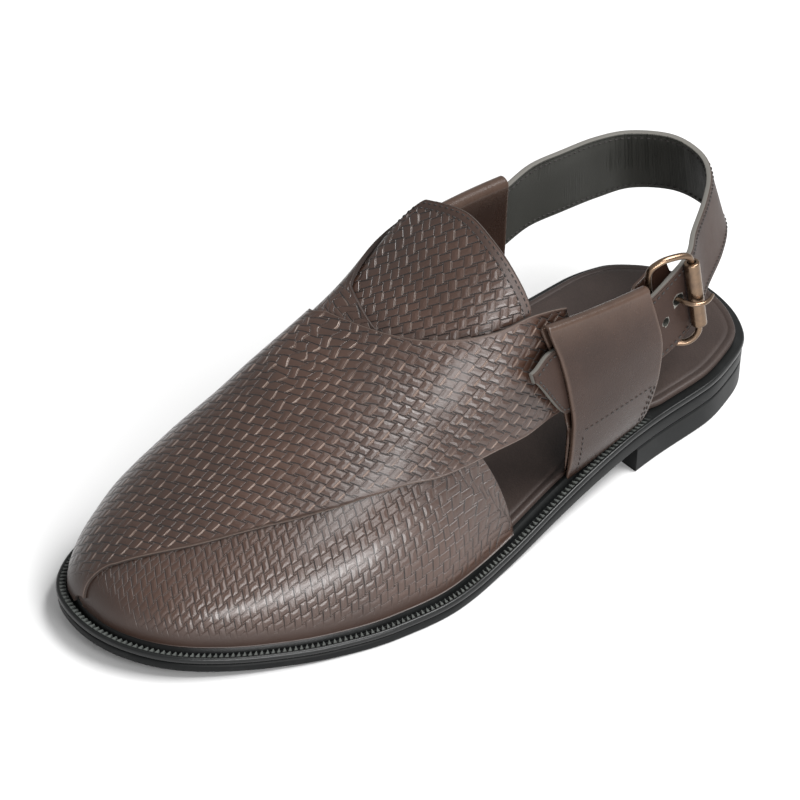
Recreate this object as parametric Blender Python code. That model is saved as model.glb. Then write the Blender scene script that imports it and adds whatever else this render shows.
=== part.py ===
"""Left peshawari chappal: two crossed leather panels on a low heeled sole, open at the
waist and heel, with a tongue, two folded quarters and a buckled heel strap.

Frame: x towards the wearer's left (lateral), y towards the heel, z up, all sizes in mm.
A station is a share of the sole's length from the back of the heel (0) to the toe (1).
"""
import bpy
import numpy as np

MM = 0.001

# Driving sizes
LENGTH = 298.0          # sole, heel to toe
HEEL_LENGTH = 80.0      # heel block, back to breast
SEAT_TOP = 21.0         # top of the welt at the heel
TREAD_TOP = 7.2         # top of the welt under the ball
SEAT_RISE = 11.6        # bottom of the outsole over the heel block
TOE_SPRING = 5.7        # lift of the sole at the toe
TREAD_START = 0.58      # station where the outsole meets the ground
SPRING_START = 0.72     # station where it leaves the ground again
WELT_THICK = 3.0
GAP = 0.3               # clearance between touching pieces
CENTRE = (0.21, 1.68, 0.0)  # middle of the whole shoe, moved to the origin
WALL = 1.6              # leather of the two panels
CROSS_LIFT = 1.2        # how far the over panel rides above the last
TONGUE_WALL = 2.2
INSOLE_THICK = 2.4
QUARTER_OUTER = 1.5     # outer leather of a folded quarter
QUARTER_INNER = 1.2     # its inner leather
TUNNEL = 3.0            # space between them
QUARTER_ALL = QUARTER_OUTER + TUNNEL + QUARTER_INNER
STRAP_THICK = 2.3
WIRE = 1.3              # radius of the buckle's wire
ROLLER = 3.0            # outer radius of the roller
PRONG = 0.95            # radius of the prong

# Sole outline: station, lateral half width, medial half width
SOLE = np.array([
    (0.0, 0, 0), (.015, 21.5, 17.7), (.04, 32, 28.4), (.08, 38, 37), (.14, 42.6, 40.3),
    (.22, 43.7, 40.3), (.32, 46.9, 36.9), (.42, 50.2, 34.3), (.52, 54.4, 36.2), (.62, 58.1, 43.0),
    (.70, 55.1, 50.3), (.78, 47.8, 56.5), (.85, 38.1, 57.8), (.91, 27.4, 53.4),
    (.955, 16.0, 46.3), (.985, 2.5, 36.7), (1.0, -16.9, 16.9)])

# Last: station, feather inset lateral and medial, crest height over the welt, crest side
# position, fullness of the lateral and of the medial side
LAST = np.array([
    (.30, 6.5, 4.0, 114.0, -6.0, 2.6, 2.8), (.36, 6.5, 4.0, 114.0, -9.7, 2.6, 2.84),
    (.42, 6.5, 4.0, 112.0, -15.5, 2.5, 2.96), (.47, 6.5, 3.5, 103.2, -19.2, 2.4, 3.06),
    (.52, 6.5, 3.5, 92.4, -21.5, 2.3, 3.05), (.58, 7.0, 4.0, 81.7, -21.5, 2.2, 2.95),
    (.66, 7.0, 5.0, 70.2, -20.6, 2.1, 2.85), (.74, 7.0, 6.0, 57.8, -18.9, 2.1, 2.62),
    (.82, 7.0, 6.5, 44.6, -18.3, 2.1, 2.51), (.89, 7.0, 7.0, 32.1, -18.4, 2.2, 2.37),
    (.94, 7.0, 7.0, 26.7, -16.8, 2.3, 2.3), (.9765, 7.0, 7.0, 23.0, -16.0, 2.4, 2.3)])
TOE_ROUND = 0.86        # station where the crest starts to round down to the toe
TOE_CUT = 0.975         # last full section, with a short cap in front of it
TOE_CAP = 0.004

# Panels on the last: share along the band, outer edge (station, turn), inner edge (station,
# turn). A turn of 0 is the lateral feather edge, 0.5 the crest, 1 the medial feather edge.
UNDER = np.array([
    (0.0, .979, 0, .979, .96), (.03, .975, 0, .975, .93), (.10, .962, 0, .964, .80),
    (.20, .925, 0, .93, .62), (.30, .87, 0, .885, .49), (.40, .79, 0, .83, .40),
    (.50, .70, 0, .79, .38), (.60, .60, 0, .755, .38), (.68, .493, 0, .715, .41),
    (.74, .522, .10, .685, .45), (.79, .548, .20, .66, .50), (.84, .566, .32, .635, .56),
    (.88, .571, .42, .61, .63), (.91, .560, .483, .58, .71), (.94, .535, .54, .54, .80),
    (.97, .475, .66, .45, .89), (1.0, .365, .80, .355, .935)])
OVER = np.array([
    (0.0, .9725, 1, .9735, .665), (.03, .970, 1, .970, .625), (.10, .955, 1, .962, .575),
    (.20, .915, 1, .937, .480), (.30, .85, 1, .905, .400), (.40, .76, 1, .868, .346),
    (.50, .66, 1, .830, .312), (.58, .58, 1, .798, .290), (.65, .51, 1, .770, .271),
    (.70, .535, .88, .748, .259), (.74, .565, .76, .722, .245), (.78, .590, .64, .695, .233),
    (.81, .599, .56, .670, .220), (.84, .590, .49, .638, .205), (.87, .575, .43, .603, .182),
    (.90, .550, .37, .568, .163), (.93, .515, .315, .522, .138), (.96, .470, .262, .465, .102),
    (1.0, .375, .193, .368, .060)])

# Tongue: turn, station of its lower edge, station of its top edge
TONGUE = np.array([
    (.20, .52, .440), (.235, .55, .421), (.31, .59, .426), (.375, .62, .430), (.43, .63, .432),
    (.48, .64, .441), (.52, .64, .455), (.56, .63, .474), (.62, .60, .495)])

# Quarters, outer face: share of height, front x, y, rear x, y
QUARTER_L = np.array([
    (0.0, 44.2, 33.0, 42.4, 69.5), (.06, 46.6, 30.0, 44.4, 71.0), (.2, 48.6, 29.8, 46.4, 73.0),
    (.4, 49.4, 29.5, 47.5, 75.2), (.6, 48.6, 27.4, 46.8, 76.6), (.8, 45.8, 25.0, 44.6, 74.9),
    (.93, 43.0, 22.6, 42.6, 73.4), (1.0, 41.4, 21.6, 41.4, 72.6)])
QUARTER_L_TOP = (95.0, 86.0)
QUARTER_M = np.array([
    (0.0, -35.0, 30.0, -37.0, 67.0), (.06, -36.6, 30.0, -38.6, 69.0),
    (.2, -38.4, 30.0, -40.2, 71.5), (.4, -39.6, 30.0, -41.2, 73.0),
    (.6, -39.8, 29.0, -41.2, 73.5), (.8, -39.0, 28.0, -40.4, 73.0),
    (.93, -37.8, 27.0, -39.4, 72.4), (1.0, -37.0, 26.4, -38.8, 72.0)])
QUARTER_M_TOP = (97.0, 92.5)

# Heel strap between the quarters: lower edge x, y, z and upper edge x, y, z
STRAP = np.array([
    (-39.6, 88, 58.5, -37.6, 87, 89.0), (-39.4, 105, 57.0, -37.2, 103, 88.0),
    (-38.5, 124, 55.2, -36.3, 120, 86.4), (-34.6, 139, 54.8, -32.0, 134, 85.0),
    (-21.0, 149.5, 56.0, -19.0, 143.5, 85.8), (-5.0, 151.0, 56.5, -5.5, 145, 84.8),
    (8.0, 147.0, 56.5, 5.0, 139.5, 83.8), (19.5, 133.5, 57.0, 15.5, 127, 83.8),
    (31.0, 114.5, 58.0, 27.0, 110, 84.5), (40.2, 100.5, 57.8, 36.3, 98.0, 85.6),
    (43.6, 88.0, 54.0, 39.4, 85.5, 83.0)])
# Holes through the strap: centre x, y, z, half length, half height
STRAP_HOLE = (42.8, 80.6, 66.6, 1.6, 1.6)       # punched for the prong, in front of the buckle
STRAP_SLOT = (42.2, 88.2, 72.2, 2.9, 1.9)       # where the prong comes out, before the roller

# Buckle frame: x, y, z along the closed wire, rear bar first
FRAME = np.array([
    (46.4, 95.6, 60.0), (44.1, 94.8, 74.0), (42.0, 94.0, 86.5), (41.4, 91.6, 90.6),
    (40.2, 86.0, 92.0), (38.6, 80.6, 91.4), (36.8, 77.2, 87.6), (35.7, 78.8, 78.0),
    (36.2, 81.6, 66.0), (37.8, 83.8, 57.5), (40.8, 87.2, 52.4), (44.2, 91.4, 51.6),
    (46.2, 94.6, 54.6)])

# Prong from behind its eye to its tip: x, y, z
TINE = np.array([
    (38.0, 83.4, 72.6), (39.0, 86.4, 72.4), (41.8, 88.4, 72.2), (45.2, 89.4, 72.0),
    (48.0, 91.2, 72.0), (49.3, 94.6, 71.8), (48.6, 98.2, 71.3), (47.0, 101.2, 70.7)])

LEATHER = (0.090, 0.060, 0.052)
SMOOTH_LEATHER = (0.088, 0.056, 0.045)
RUBBER = (0.016, 0.017, 0.017)


def smooth(column, values):
    """Monotone cubic curve through a table's two columns, held flat outside."""
    x, y = np.asarray(column, float), np.asarray(values, float)
    h, d = np.diff(x), np.diff(y) / np.diff(x)
    m = np.zeros_like(y)
    m[0], m[-1] = d[0], d[-1]
    same = d[:-1] * d[1:] > 0
    w1, w2 = 2 * h[1:] + h[:-1], h[1:] + 2 * h[:-1]
    safe = np.where(same, d[:-1], 1), np.where(same, d[1:], 1)
    m[1:-1] = np.where(same, (w1 + w2) / (w1 / safe[0] + w2 / safe[1]), 0)

    def at(q):
        q = np.clip(np.asarray(q, float), x[0], x[-1])
        i = np.clip(np.searchsorted(x, q, side="right") - 1, 0, len(x) - 2)
        s = (q - x[i]) / h[i]
        a, b = (1 + 2 * s) * (1 - s) ** 2, s * (1 - s) ** 2
        c, e = s * s * (3 - 2 * s), s * s * (s - 1)
        return a * y[i] + b * h[i] * m[i] + c * y[i + 1] + e * h[i] * m[i + 1]
    return at


def ease(a, b, q):
    """0 below a, 1 above b, smooth between."""
    u = np.clip((np.asarray(q, float) - a) / (b - a), 0, 1)
    return u * u * (3 - 2 * u)


def row_y(t):
    return LENGTH / 2 - np.asarray(t, float) * LENGTH


def spring(t):
    return TOE_SPRING * np.clip((np.asarray(t, float) - SPRING_START) / (1 - SPRING_START), 0, 1) ** 2


def welt_top(t):
    fall = ease(HEEL_LENGTH / LENGTH, TREAD_START, t)
    return SEAT_TOP + (TREAD_TOP - SEAT_TOP) * fall + spring(t)


def sole_bottom(t):
    return SEAT_RISE * (1 - ease(HEEL_LENGTH / LENGTH, TREAD_START, t)) + spring(t)


TURN = np.arccos(1 - 2 * SOLE[:, 0])
SIDE_L, SIDE_M = smooth(TURN, SOLE[:, 1]), smooth(TURN, SOLE[:, 2])


def half_outlines(inset_l, inset_m, n=400):
    """Lateral and medial side curves of the sole drawn in by an inset, as x(y) functions."""
    turn = np.linspace(0, np.pi, n)
    t = (1 - np.cos(turn)) / 2
    loop = np.concatenate([np.stack([SIDE_L(turn), row_y(t)], 1),
                           np.stack([-SIDE_M(turn), row_y(t)], 1)[::-1][1:-1]])
    inset = np.concatenate([np.broadcast_to(inset_l(t), t.shape),
                            np.broadcast_to(inset_m(t), t.shape)[::-1][1:-1]])
    along = np.roll(loop, -1, 0) - np.roll(loop, 1, 0)
    inward = np.stack([along[:, 1], -along[:, 0]], 1)
    inward /= np.linalg.norm(inward, axis=1)[:, None]
    moved = loop + inward * inset[:, None]
    lateral = moved[:n]
    medial = np.concatenate([moved[n:], moved[:1]])[::-1]
    medial = np.concatenate([medial, moved[n - 1:n]])
    sides = []
    for side in (lateral, medial):
        order = np.argsort(side[:, 1])
        sides.append(side[order])
    low = max(side[0, 1] for side in sides)
    high = min(side[-1, 1] for side in sides)
    return (lambda y: np.interp(y, sides[0][:, 1], sides[0][:, 0]),
            lambda y: np.interp(y, sides[1][:, 1], sides[1][:, 0]), low, high)


STATION = LAST[:, 0]
FEATHER_L, FEATHER_M, FEATHER_LOW, _ = half_outlines(smooth(STATION, LAST[:, 1]),
                                                     smooth(STATION, LAST[:, 2]))
CREST, CREST_X = smooth(STATION, LAST[:, 3]), smooth(STATION, LAST[:, 4])
FULL_L, FULL_M = smooth(STATION, LAST[:, 5]), smooth(STATION, LAST[:, 6])


def last_point(t, turn):
    """Point of the last at a station and a turn round its section, over the welt's top.

    The section is a superellipse from each feather edge up to the crest; the crest rounds
    down at the toe, and past TOE_CUT a short cap brings the wall down to the welt.
    """
    t, turn = np.broadcast_arrays(np.asarray(t, float), np.asarray(turn, float))
    tc = np.minimum(t, TOE_CUT)
    cap = np.clip((t - TOE_CUT) / TOE_CAP, 0, 1)
    y = row_y(tc)
    left, right = FEATHER_L(y), FEATHER_M(y)
    tip = (LENGTH / 2 - FEATHER_LOW) / LENGTH
    drop = np.clip((tc - TOE_ROUND) / (tip - TOE_ROUND), 0, 1)
    height = CREST(tc) * np.sqrt(1 - drop ** 2) * (1 - cap)
    c, s = np.abs(np.cos(np.pi * turn)), np.abs(np.sin(np.pi * turn))
    n = np.where(turn <= 0.5, FULL_L(tc), FULL_M(tc))
    crest = np.clip(CREST_X(tc), right + 1.5, left - 1.5)
    x = crest + (np.where(turn <= 0.5, left, right) - crest) * c ** (2 / n)
    across = (2 * x - left - right) / (left - right)
    y = y - cap * (y - FEATHER_LOW) * (1 - across ** 2)
    lift = GAP + .45 * ease(.85, .97, tc)
    return np.stack([x, y, welt_top(tc) + lift + height * s ** (2 / n)], -1)


def surface_normals(grid, towards):
    """Unit normals of a grid, on the side away from the given point."""
    n = np.cross(np.gradient(grid, axis=0), np.gradient(grid, axis=1))
    n /= np.linalg.norm(n, axis=2)[:, :, None] + 1e-12
    side = np.sign(np.sum((grid - towards) * n, axis=2).mean())
    return n * side


def material(name, colour, roughness, metallic=0.0):
    mat = bpy.data.materials.new(name)
    mat.use_nodes = True
    shader = mat.node_tree.nodes["Principled BSDF"]
    shader.inputs["Base Color"].default_value = (*colour, 1)
    shader.inputs["Roughness"].default_value = roughness
    shader.inputs["Metallic"].default_value = metallic
    mat.diffuse_color = (*colour, 1)
    return mat


def add(name, points, faces, mat=None, sharp=40):
    """Object from points in mm and faces, shaded smooth with sharp edges kept."""
    mesh = bpy.data.meshes.new(name)
    placed = (np.asarray(points, float) - CENTRE) * MM
    mesh.from_pydata([tuple(p) for p in placed], [], faces)
    mesh.validate()
    mesh.shade_smooth()
    mesh.set_sharp_from_angle(angle=np.radians(sharp))
    obj = bpy.data.objects.new(name, mesh)
    bpy.context.scene.collection.objects.link(obj)
    if mat:
        mesh.materials.append(mat)
    return obj


def face_outward(points, faces):
    """Faces turned so that their signed volume is positive."""
    p = np.asarray(points, float)
    volume = 0.0
    for f in faces:
        for k in range(1, len(f) - 1):
            volume += np.dot(p[f[0]], np.cross(p[f[k]], p[f[k + 1]]))
    return faces if volume > 0 else [f[::-1] for f in faces]


def sheet(name, inner, outer, mat=None):
    """Closed solid between two grids of the same size."""
    n, m = inner.shape[:2]
    points = np.concatenate([inner.reshape(-1, 3), outer.reshape(-1, 3)])
    lo = np.arange(n * m).reshape(n, m)
    hi = lo + n * m
    faces = []
    for i in range(n - 1):
        for j in range(m - 1):
            faces.append((lo[i, j], lo[i, j + 1], lo[i + 1, j + 1], lo[i + 1, j]))
            faces.append((hi[i, j], hi[i + 1, j], hi[i + 1, j + 1], hi[i, j + 1]))
    rim = ([(i, 0) for i in range(n)] + [(n - 1, j) for j in range(1, m)]
           + [(i, m - 1) for i in range(n - 2, -1, -1)] + [(0, j) for j in range(m - 2, 0, -1)])
    for a, b in zip(rim, rim[1:] + rim[:1]):
        faces.append((lo[a], lo[b], hi[b], hi[a]))
    faces = [tuple(int(k) for k in f) for f in faces]
    return add(name, points, face_outward(points, faces), mat)


def sweep(name, loops, mat=None, closed=False, sharp=40):
    """Closed solid through a row of loops, capped at its ends or joined round."""
    loops = np.asarray(loops, float)
    n, m = loops.shape[:2]
    index = np.arange(n * m).reshape(n, m)
    faces = []
    for i in range(n if closed else n - 1):
        a, b = index[i], index[(i + 1) % n]
        faces += [(a[j], a[(j + 1) % m], b[(j + 1) % m], b[j]) for j in range(m)]
    if not closed:
        faces += [tuple(index[0][::-1]), tuple(index[-1])]
    points = loops.reshape(-1, 3)
    faces = [tuple(int(k) for k in f) for f in faces]
    return add(name, points, face_outward(points, faces), mat, sharp)


def tube(name, path, radius, mat=None, closed=False, sides=12):
    """Round bar of one radius along a path."""
    path = np.asarray(path, float)
    along = np.roll(path, -1, 0) - np.roll(path, 1, 0) if closed else np.gradient(path, axis=0)
    along /= np.linalg.norm(along, axis=1)[:, None]
    normal = np.cross(along[0], (0.3, 0.2, 0.9))
    loops, turn = [], np.linspace(0, 2 * np.pi, sides, endpoint=False)
    for p, t in zip(path, along):
        normal = normal - t * np.dot(normal, t)
        normal /= np.linalg.norm(normal)
        other = np.cross(t, normal)
        loops.append(p + radius * (np.cos(turn)[:, None] * normal + np.sin(turn)[:, None] * other))
    return sweep(name, loops, mat, closed)


def rounded_path(points, n, closed=False):
    """Catmull-Rom curve through points, n steps to each span."""
    p = np.asarray(points, float)
    if closed:
        p = np.concatenate([p[-1:], p, p[:2]])
    else:
        p = np.concatenate([2 * p[:1] - p[1:2], p, 2 * p[-1:] - p[-2:-1]])
    out = []
    for k in range(1, len(p) - 2):
        for s in np.linspace(0, 1, n, endpoint=False):
            a, b, c, d = p[k - 1:k + 3]
            out.append(0.5 * (2 * b + (c - a) * s + (2 * a - 5 * b + 4 * c - d) * s * s
                              + (3 * b - a - 3 * c + d) * s ** 3))
    if not closed:
        out.append(p[-2])
    return np.array(out)


def boolean(obj, cutter, operation):
    mod = obj.modifiers.new(operation.lower(), "BOOLEAN")
    mod.operation = operation
    mod.use_self = operation == "UNION"
    mod.solver = "EXACT"
    mod.object = cutter
    cutter.hide_render = True
    cutter.display_type = "WIRE"


def slab(name, levels, start, end, mat, n=46):
    """Plate with the sole's outline between two stations, from a row of levels.

    Each level is an inset from the outline (a number or a pair of station functions) and a
    height function; levels run from the lower face up the side to the upper face.
    """
    loops = []
    for inset, height in levels:
        pair = inset if isinstance(inset, tuple) else (lambda t, v=inset: v + 0 * t,) * 2
        left, right, low, high = half_outlines(*pair)
        first = high if start == 0 else row_y(start)
        final = low if end == 1 else row_y(end)
        u = np.linspace(0, 1, n)
        turn = np.pi * u if end == 1 else np.pi / 2 * u
        share = (1 - np.cos(turn)) / 2 if end == 1 else 1 - np.cos(turn)
        y = first + (final - first) * share
        t = (LENGTH / 2 - y) / LENGTH
        z = height(t)
        side_l = np.stack([left(y), y, z], 1)
        side_m = np.stack([right(y), y, z], 1)
        side_m = side_m[1:-1] if end == 1 else side_m[1:]
        loops.append(np.concatenate([side_l, side_m[::-1]]))
    loops = np.array(loops)
    k, m = loops.shape[:2]
    index = np.arange(k * m).reshape(k, m)
    faces = []
    for i in range(k - 1):
        faces += [(index[i, j], index[i, (j + 1) % m], index[i + 1, (j + 1) % m], index[i + 1, j])
                  for j in range(m)]
    for level, flip in ((index[0], True), (index[-1], False)):
        for i in range(n - 1):
            a, b = level[i], level[i + 1]
            c, d = level[(m - i - 1) % m], level[(m - i) % m]
            face = [a, b] + ([c] if c != b else []) + ([d] if d != a else [])
            faces.append(tuple(face[::-1] if flip else face))
    points = loops.reshape(-1, 3)
    faces = [tuple(int(q) for q in f) for f in faces]
    return add(name, points, face_outward(points, faces), mat, 50)


def panel(name, table, lift, columns, rows, mat=None):
    """Leather panel on the last between its outer and inner edge."""
    u = np.linspace(0, 1, columns)
    edge = [smooth(table[:, 0], table[:, k])(u) for k in (1, 2, 3, 4)]
    v = np.linspace(0, 1, rows)[None, :]
    t = edge[0][:, None] * (1 - v) + edge[2][:, None] * v
    turn = edge[1][:, None] * (1 - v) + edge[3][:, None] * v
    base = last_point(t, turn)
    normal = surface_normals(base, np.array([0.0, -20.0, 20.0]))
    low = base + normal * lift(u)[:, None, None]
    return sheet(name, low, low + normal * WALL, mat)


def quarter_point(table, tops, a, s, depth):
    """Point of a quarter: share along it, share of its height, depth under its outer face."""
    a, s = np.broadcast_arrays(np.asarray(a, float), np.asarray(s, float))
    cols = [smooth(table[:, 0], table[:, k])(s) for k in (1, 2, 3, 4)]
    bulge = 0.8 * np.sign(table[0, 1]) * 4 * np.clip(a * (1 - a), 0, 1)
    x = cols[0] + (cols[2] - cols[0]) * a + bulge
    y = cols[1] + (cols[3] - cols[1]) * a
    foot_y = table[0, 2] + (table[0, 4] - table[0, 2]) * a
    foot_z = welt_top((LENGTH / 2 - foot_y) / LENGTH) + GAP + .2
    head_z = tops[0] + (tops[1] - tops[0]) * a
    z = foot_z * (1 - s) + head_z * s
    step = 0.01
    ahead = [smooth(table[:, 0], table[:, k])(np.clip(s + step, 0, 1))
             - smooth(table[:, 0], table[:, k])(np.clip(s - step, 0, 1)) for k in (1, 3)]
    rise = (np.clip(s + step, 0, 1) - np.clip(s - step, 0, 1)) * (head_z - foot_z)
    slope = (ahead[0] * (1 - a) + ahead[1] * a) / rise
    norm = np.sqrt(1 + slope ** 2)
    out = np.sign(table[0, 1])
    x = x - out * depth / norm
    z = z + out * slope * depth / norm
    return np.stack([x, y, z], -1)


def folded_quarter(name, table, tops, mat):
    """Band folded over at its top, its two leathers open as a tunnel above the stitch row."""
    fold = 0.955
    rise = np.concatenate([np.linspace(0, .30, 6), np.linspace(.36, fold, 14)])
    arc = np.linspace(0, np.pi, 9)[1:-1]

    def loops(outer, inner, shares, along):
        rows = []
        for a in along:
            up = quarter_point(table, tops, a, shares, outer(shares))
            down = quarter_point(table, tops, a, shares[::-1], inner(shares[::-1]))
            top, back = up[-1], down[0]
            centre, half = (top + back) / 2, (top - back) / 2
            lift = np.array([0, 0, np.linalg.norm(half)])
            over = centre + np.cos(arc)[:, None] * half + np.sin(arc)[:, None] * lift
            rows.append(np.concatenate([up, over, down]))
        return rows

    thick = lambda s: 2.4 + (QUARTER_ALL - 2.4) * ease(.28, .44, s)
    body = sweep(name, loops(lambda s: 0 * s, thick, rise, np.linspace(0, 1, 12)), mat)
    hollow = np.linspace(.40, fold, 12)
    near = lambda s: QUARTER_OUTER + 0 * s
    far = lambda s: np.maximum(QUARTER_OUTER + .25, thick(s) - QUARTER_INNER)
    cutter = sweep(name + "_tunnel", loops(near, far, hollow, np.linspace(-.08, 1.08, 14)))
    boolean(body, cutter, "DIFFERENCE")
    return body


def strap_columns():
    """Lower, middle and upper points of the strap from its medial end to its lateral tip."""
    depth = QUARTER_OUTER + TUNNEL / 2
    rows = []
    for a in np.linspace(.12, 1.0, 9):
        s = np.array([.50, .72, .92]) - 0.02 * (1 - a)
        rows.append(quarter_point(QUARTER_M, QUARTER_M_TOP, a, s, depth))
    for r in STRAP:
        low, top = r[:3], r[3:]
        rows.append(np.array([low, (low + top) / 2, top]))
    for a in np.concatenate([np.linspace(1.0, 0, 9), [-.10, -.20, -.28]]):
        share = (1 - a) / 1.28
        low, top = .46 + .02 * share, .90 - .06 * share
        s = np.array([low, (low + top) / 2, top])
        point = quarter_point(QUARTER_L, QUARTER_L_TOP, a, s, depth)
        point[:, 0] += 1.6 * ease(0, .28, -a)
        rows.append(point)
    return np.array(rows)


def heel_strap(mat):
    """Strap as one sheet, cut to a point at its free end, with its holes."""
    key = strap_columns()
    low, mid, top = (rounded_path(key[:, k], 3) for k in range(3))
    v = np.linspace(0, 1, 7)[None, :, None]
    curve = [a[:, None] for a in (low, mid, top)]
    tail = ease(len(low) - 9.5, len(low) - 1, np.arange(len(low)))[:, None, None]
    v = v * (1 - .86 * tail) + .76 * tail
    grid = (curve[0] * 2 * (v - .5) * (v - 1) + curve[1] * 4 * v * (1 - v)
            + curve[2] * 2 * v * (v - .5))
    normal = surface_normals(grid, np.array([0.0, 60.0, 70.0]))
    half = normal * STRAP_THICK / 2
    strap = sheet("heel_strap", grid - half, grid + half, mat)
    turn = np.linspace(0, 2 * np.pi, 20, endpoint=False)
    for k, (x, y, z, ry, rz) in enumerate((STRAP_HOLE, STRAP_SLOT)):
        loops = [np.stack([0 * turn + x + d, y + ry * np.cos(turn), z + rz * np.sin(turn)], 1)
                 for d in (-7, 7)]
        boolean(strap, sweep("strap_hole_%d" % k, loops), "DIFFERENCE")
    return strap


def buckle(bronze, leather):
    """Wire frame, roller on its rear bar, prong on its front bar, leather guard behind."""
    tube("buckle_frame", rounded_path(FRAME, 5, closed=True), WIRE, bronze, closed=True)
    low, high = FRAME[0], FRAME[2]
    axis = (high - low) / np.linalg.norm(high - low)
    a = np.cross(axis, (0, 1, 0))
    a /= np.linalg.norm(a)
    b = np.cross(axis, a)
    turn = np.linspace(0, 2 * np.pi, 24, endpoint=False)
    ring = np.cos(turn)[:, None] * a + np.sin(turn)[:, None] * b
    ends = (low - axis * .5, high + axis * .5)
    bevel = .4
    bore = WIRE + .45
    loops = [ends[0] + bore * ring, ends[0] + (ROLLER - bevel) * ring,
             ends[0] + axis * bevel + ROLLER * ring, ends[1] - axis * bevel + ROLLER * ring,
             ends[1] + (ROLLER - bevel) * ring, ends[1] + bore * ring]
    sweep("buckle_roller", loops, bronze, closed=True)

    bar = FRAME[7] * .62 + FRAME[8] * .38
    reach = WIRE + GAP + PRONG
    hook = np.radians(np.linspace(200, 60, 6))
    eye = bar + reach * np.stack([np.sin(hook), np.cos(hook), 0 * hook], 1)
    tube("buckle_prong", rounded_path(np.concatenate([eye, TINE]), 3), PRONG, bronze)

    grid = []
    for share in np.linspace(0, 1, 14):
        a = .80 + .62 * share
        lean = QUARTER_ALL + GAP + .8 + 5.0 * ease(.90, 1.06, a)
        bottom = .52 + .06 * ease(.6, 1, share)
        top = .93 + .11 * ease(.25, .95, share) - .12 * ease(.93, 1, share)
        point = [quarter_point(QUARTER_L, QUARTER_L_TOP, a, min(s, 1), lean)
                 + np.array([0, 0, max(s - 1, 0) * 70]) for s in np.linspace(bottom, top, 7)]
        grid.append(point)
    grid = np.array(grid)
    normal = surface_normals(grid, np.array([0.0, 80.0, 70.0]))
    sheet("buckle_guard", grid - normal * .7, grid + normal * .7, leather)


def build():
    for obj in list(bpy.data.objects):
        bpy.data.objects.remove(obj, do_unlink=True)

    rubber = material("black rubber", RUBBER, 0.45)
    insole_leather = material("insole leather", (0.045, 0.034, 0.031), 0.55)
    embossed = material("embossed leather", LEATHER, 0.42)
    plain = material("smooth leather", SMOOTH_LEATHER, 0.40)
    band = material("strap leather", (0.115, 0.085, 0.075), 0.45)
    bronze = material("antique bronze", (0.20, 0.14, 0.10), 0.35, 1.0)

    breast = HEEL_LENGTH / LENGTH
    slab("heel", [(1.6, lambda t: 0 * t), (.9, lambda t: 0 * t + .8),
                  (.7, lambda t: 0 * t + SEAT_RISE - GAP - .6),
                  (1.1, lambda t: 0 * t + SEAT_RISE - GAP)], 0, breast, rubber, 26)
    under = lambda t: welt_top(t) - WELT_THICK - GAP
    slab("outsole", [(1.6, sole_bottom), (.8, lambda t: sole_bottom(t) + .9),
                     (.6, lambda t: under(t) - .7), (1.5, under)], 0, 1, rubber)
    slab("welt", [(1.6, lambda t: welt_top(t) - WELT_THICK), (.35, lambda t: welt_top(t) - 2.3),
                  (0.0, lambda t: welt_top(t) - 1.2), (.5, lambda t: welt_top(t) - .35),
                  (1.4, welt_top)], 0, 1, rubber)
    edge_l = smooth((0, .21, .255, .34, 1), (3.6, 4.0, 7.2, 7.6, 7.9))
    edge_m = smooth((0, .21, .255, .34, .52, .66, .82, 1), (3.6, 4.0, 6.2, 5.0, 4.7, 6.0, 7.6, 7.9))
    rise = lambda h: (lambda t: welt_top(t) + GAP + h)
    drawn = lambda d: (lambda t: edge_l(t) + d, lambda t: edge_m(t) + d)
    slab("insole", [(drawn(0), rise(0)), (drawn(0), rise(INSOLE_THICK - .8)),
                    (drawn(.8), rise(INSOLE_THICK))], 0, 1, insole_leather)

    under_panel = panel("upper", UNDER, lambda u: 0 * u, 74, 19, embossed)
    over_panel = panel("over_panel", OVER, lambda u: CROSS_LIFT - 2.2 * ease(.955, 1, u), 74, 19)
    boolean(under_panel, over_panel, "UNION")

    turn = np.linspace(TONGUE[0, 0], TONGUE[-1, 0], 26)
    foot = smooth(TONGUE[:, 0], TONGUE[:, 1])(turn)[:, None]
    head = smooth(TONGUE[:, 0], TONGUE[:, 2])(turn)[:, None]
    v = np.linspace(0, 1, 14)[None, :]
    base = last_point(foot * (1 - v) + head * v, turn[:, None] + 0 * v)
    normal = surface_normals(base, np.array([0.0, -20.0, 20.0]))
    sheet("tongue", base - normal * (GAP + .1 + TONGUE_WALL), base - normal * (GAP + .1), embossed)

    folded_quarter("quarter_lateral", QUARTER_L, QUARTER_L_TOP, plain)
    folded_quarter("quarter_medial", QUARTER_M, QUARTER_M_TOP, plain)
    heel_strap(band)
    buckle(bronze, plain)


build()
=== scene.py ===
"""Looks of the left peshawari chappal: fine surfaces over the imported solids, in their frame.

Frame: x towards the wearer's left (lateral), y towards the heel, z up. Sizes are in mm and
scaled to metres when a mesh is made. A station is a share of the sole's length from the
back of the heel (0) to the toe (1); a turn is a share of the way round the last's section.
"""

import bpy
import numpy as np
from mathutils import Matrix, Vector


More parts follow.
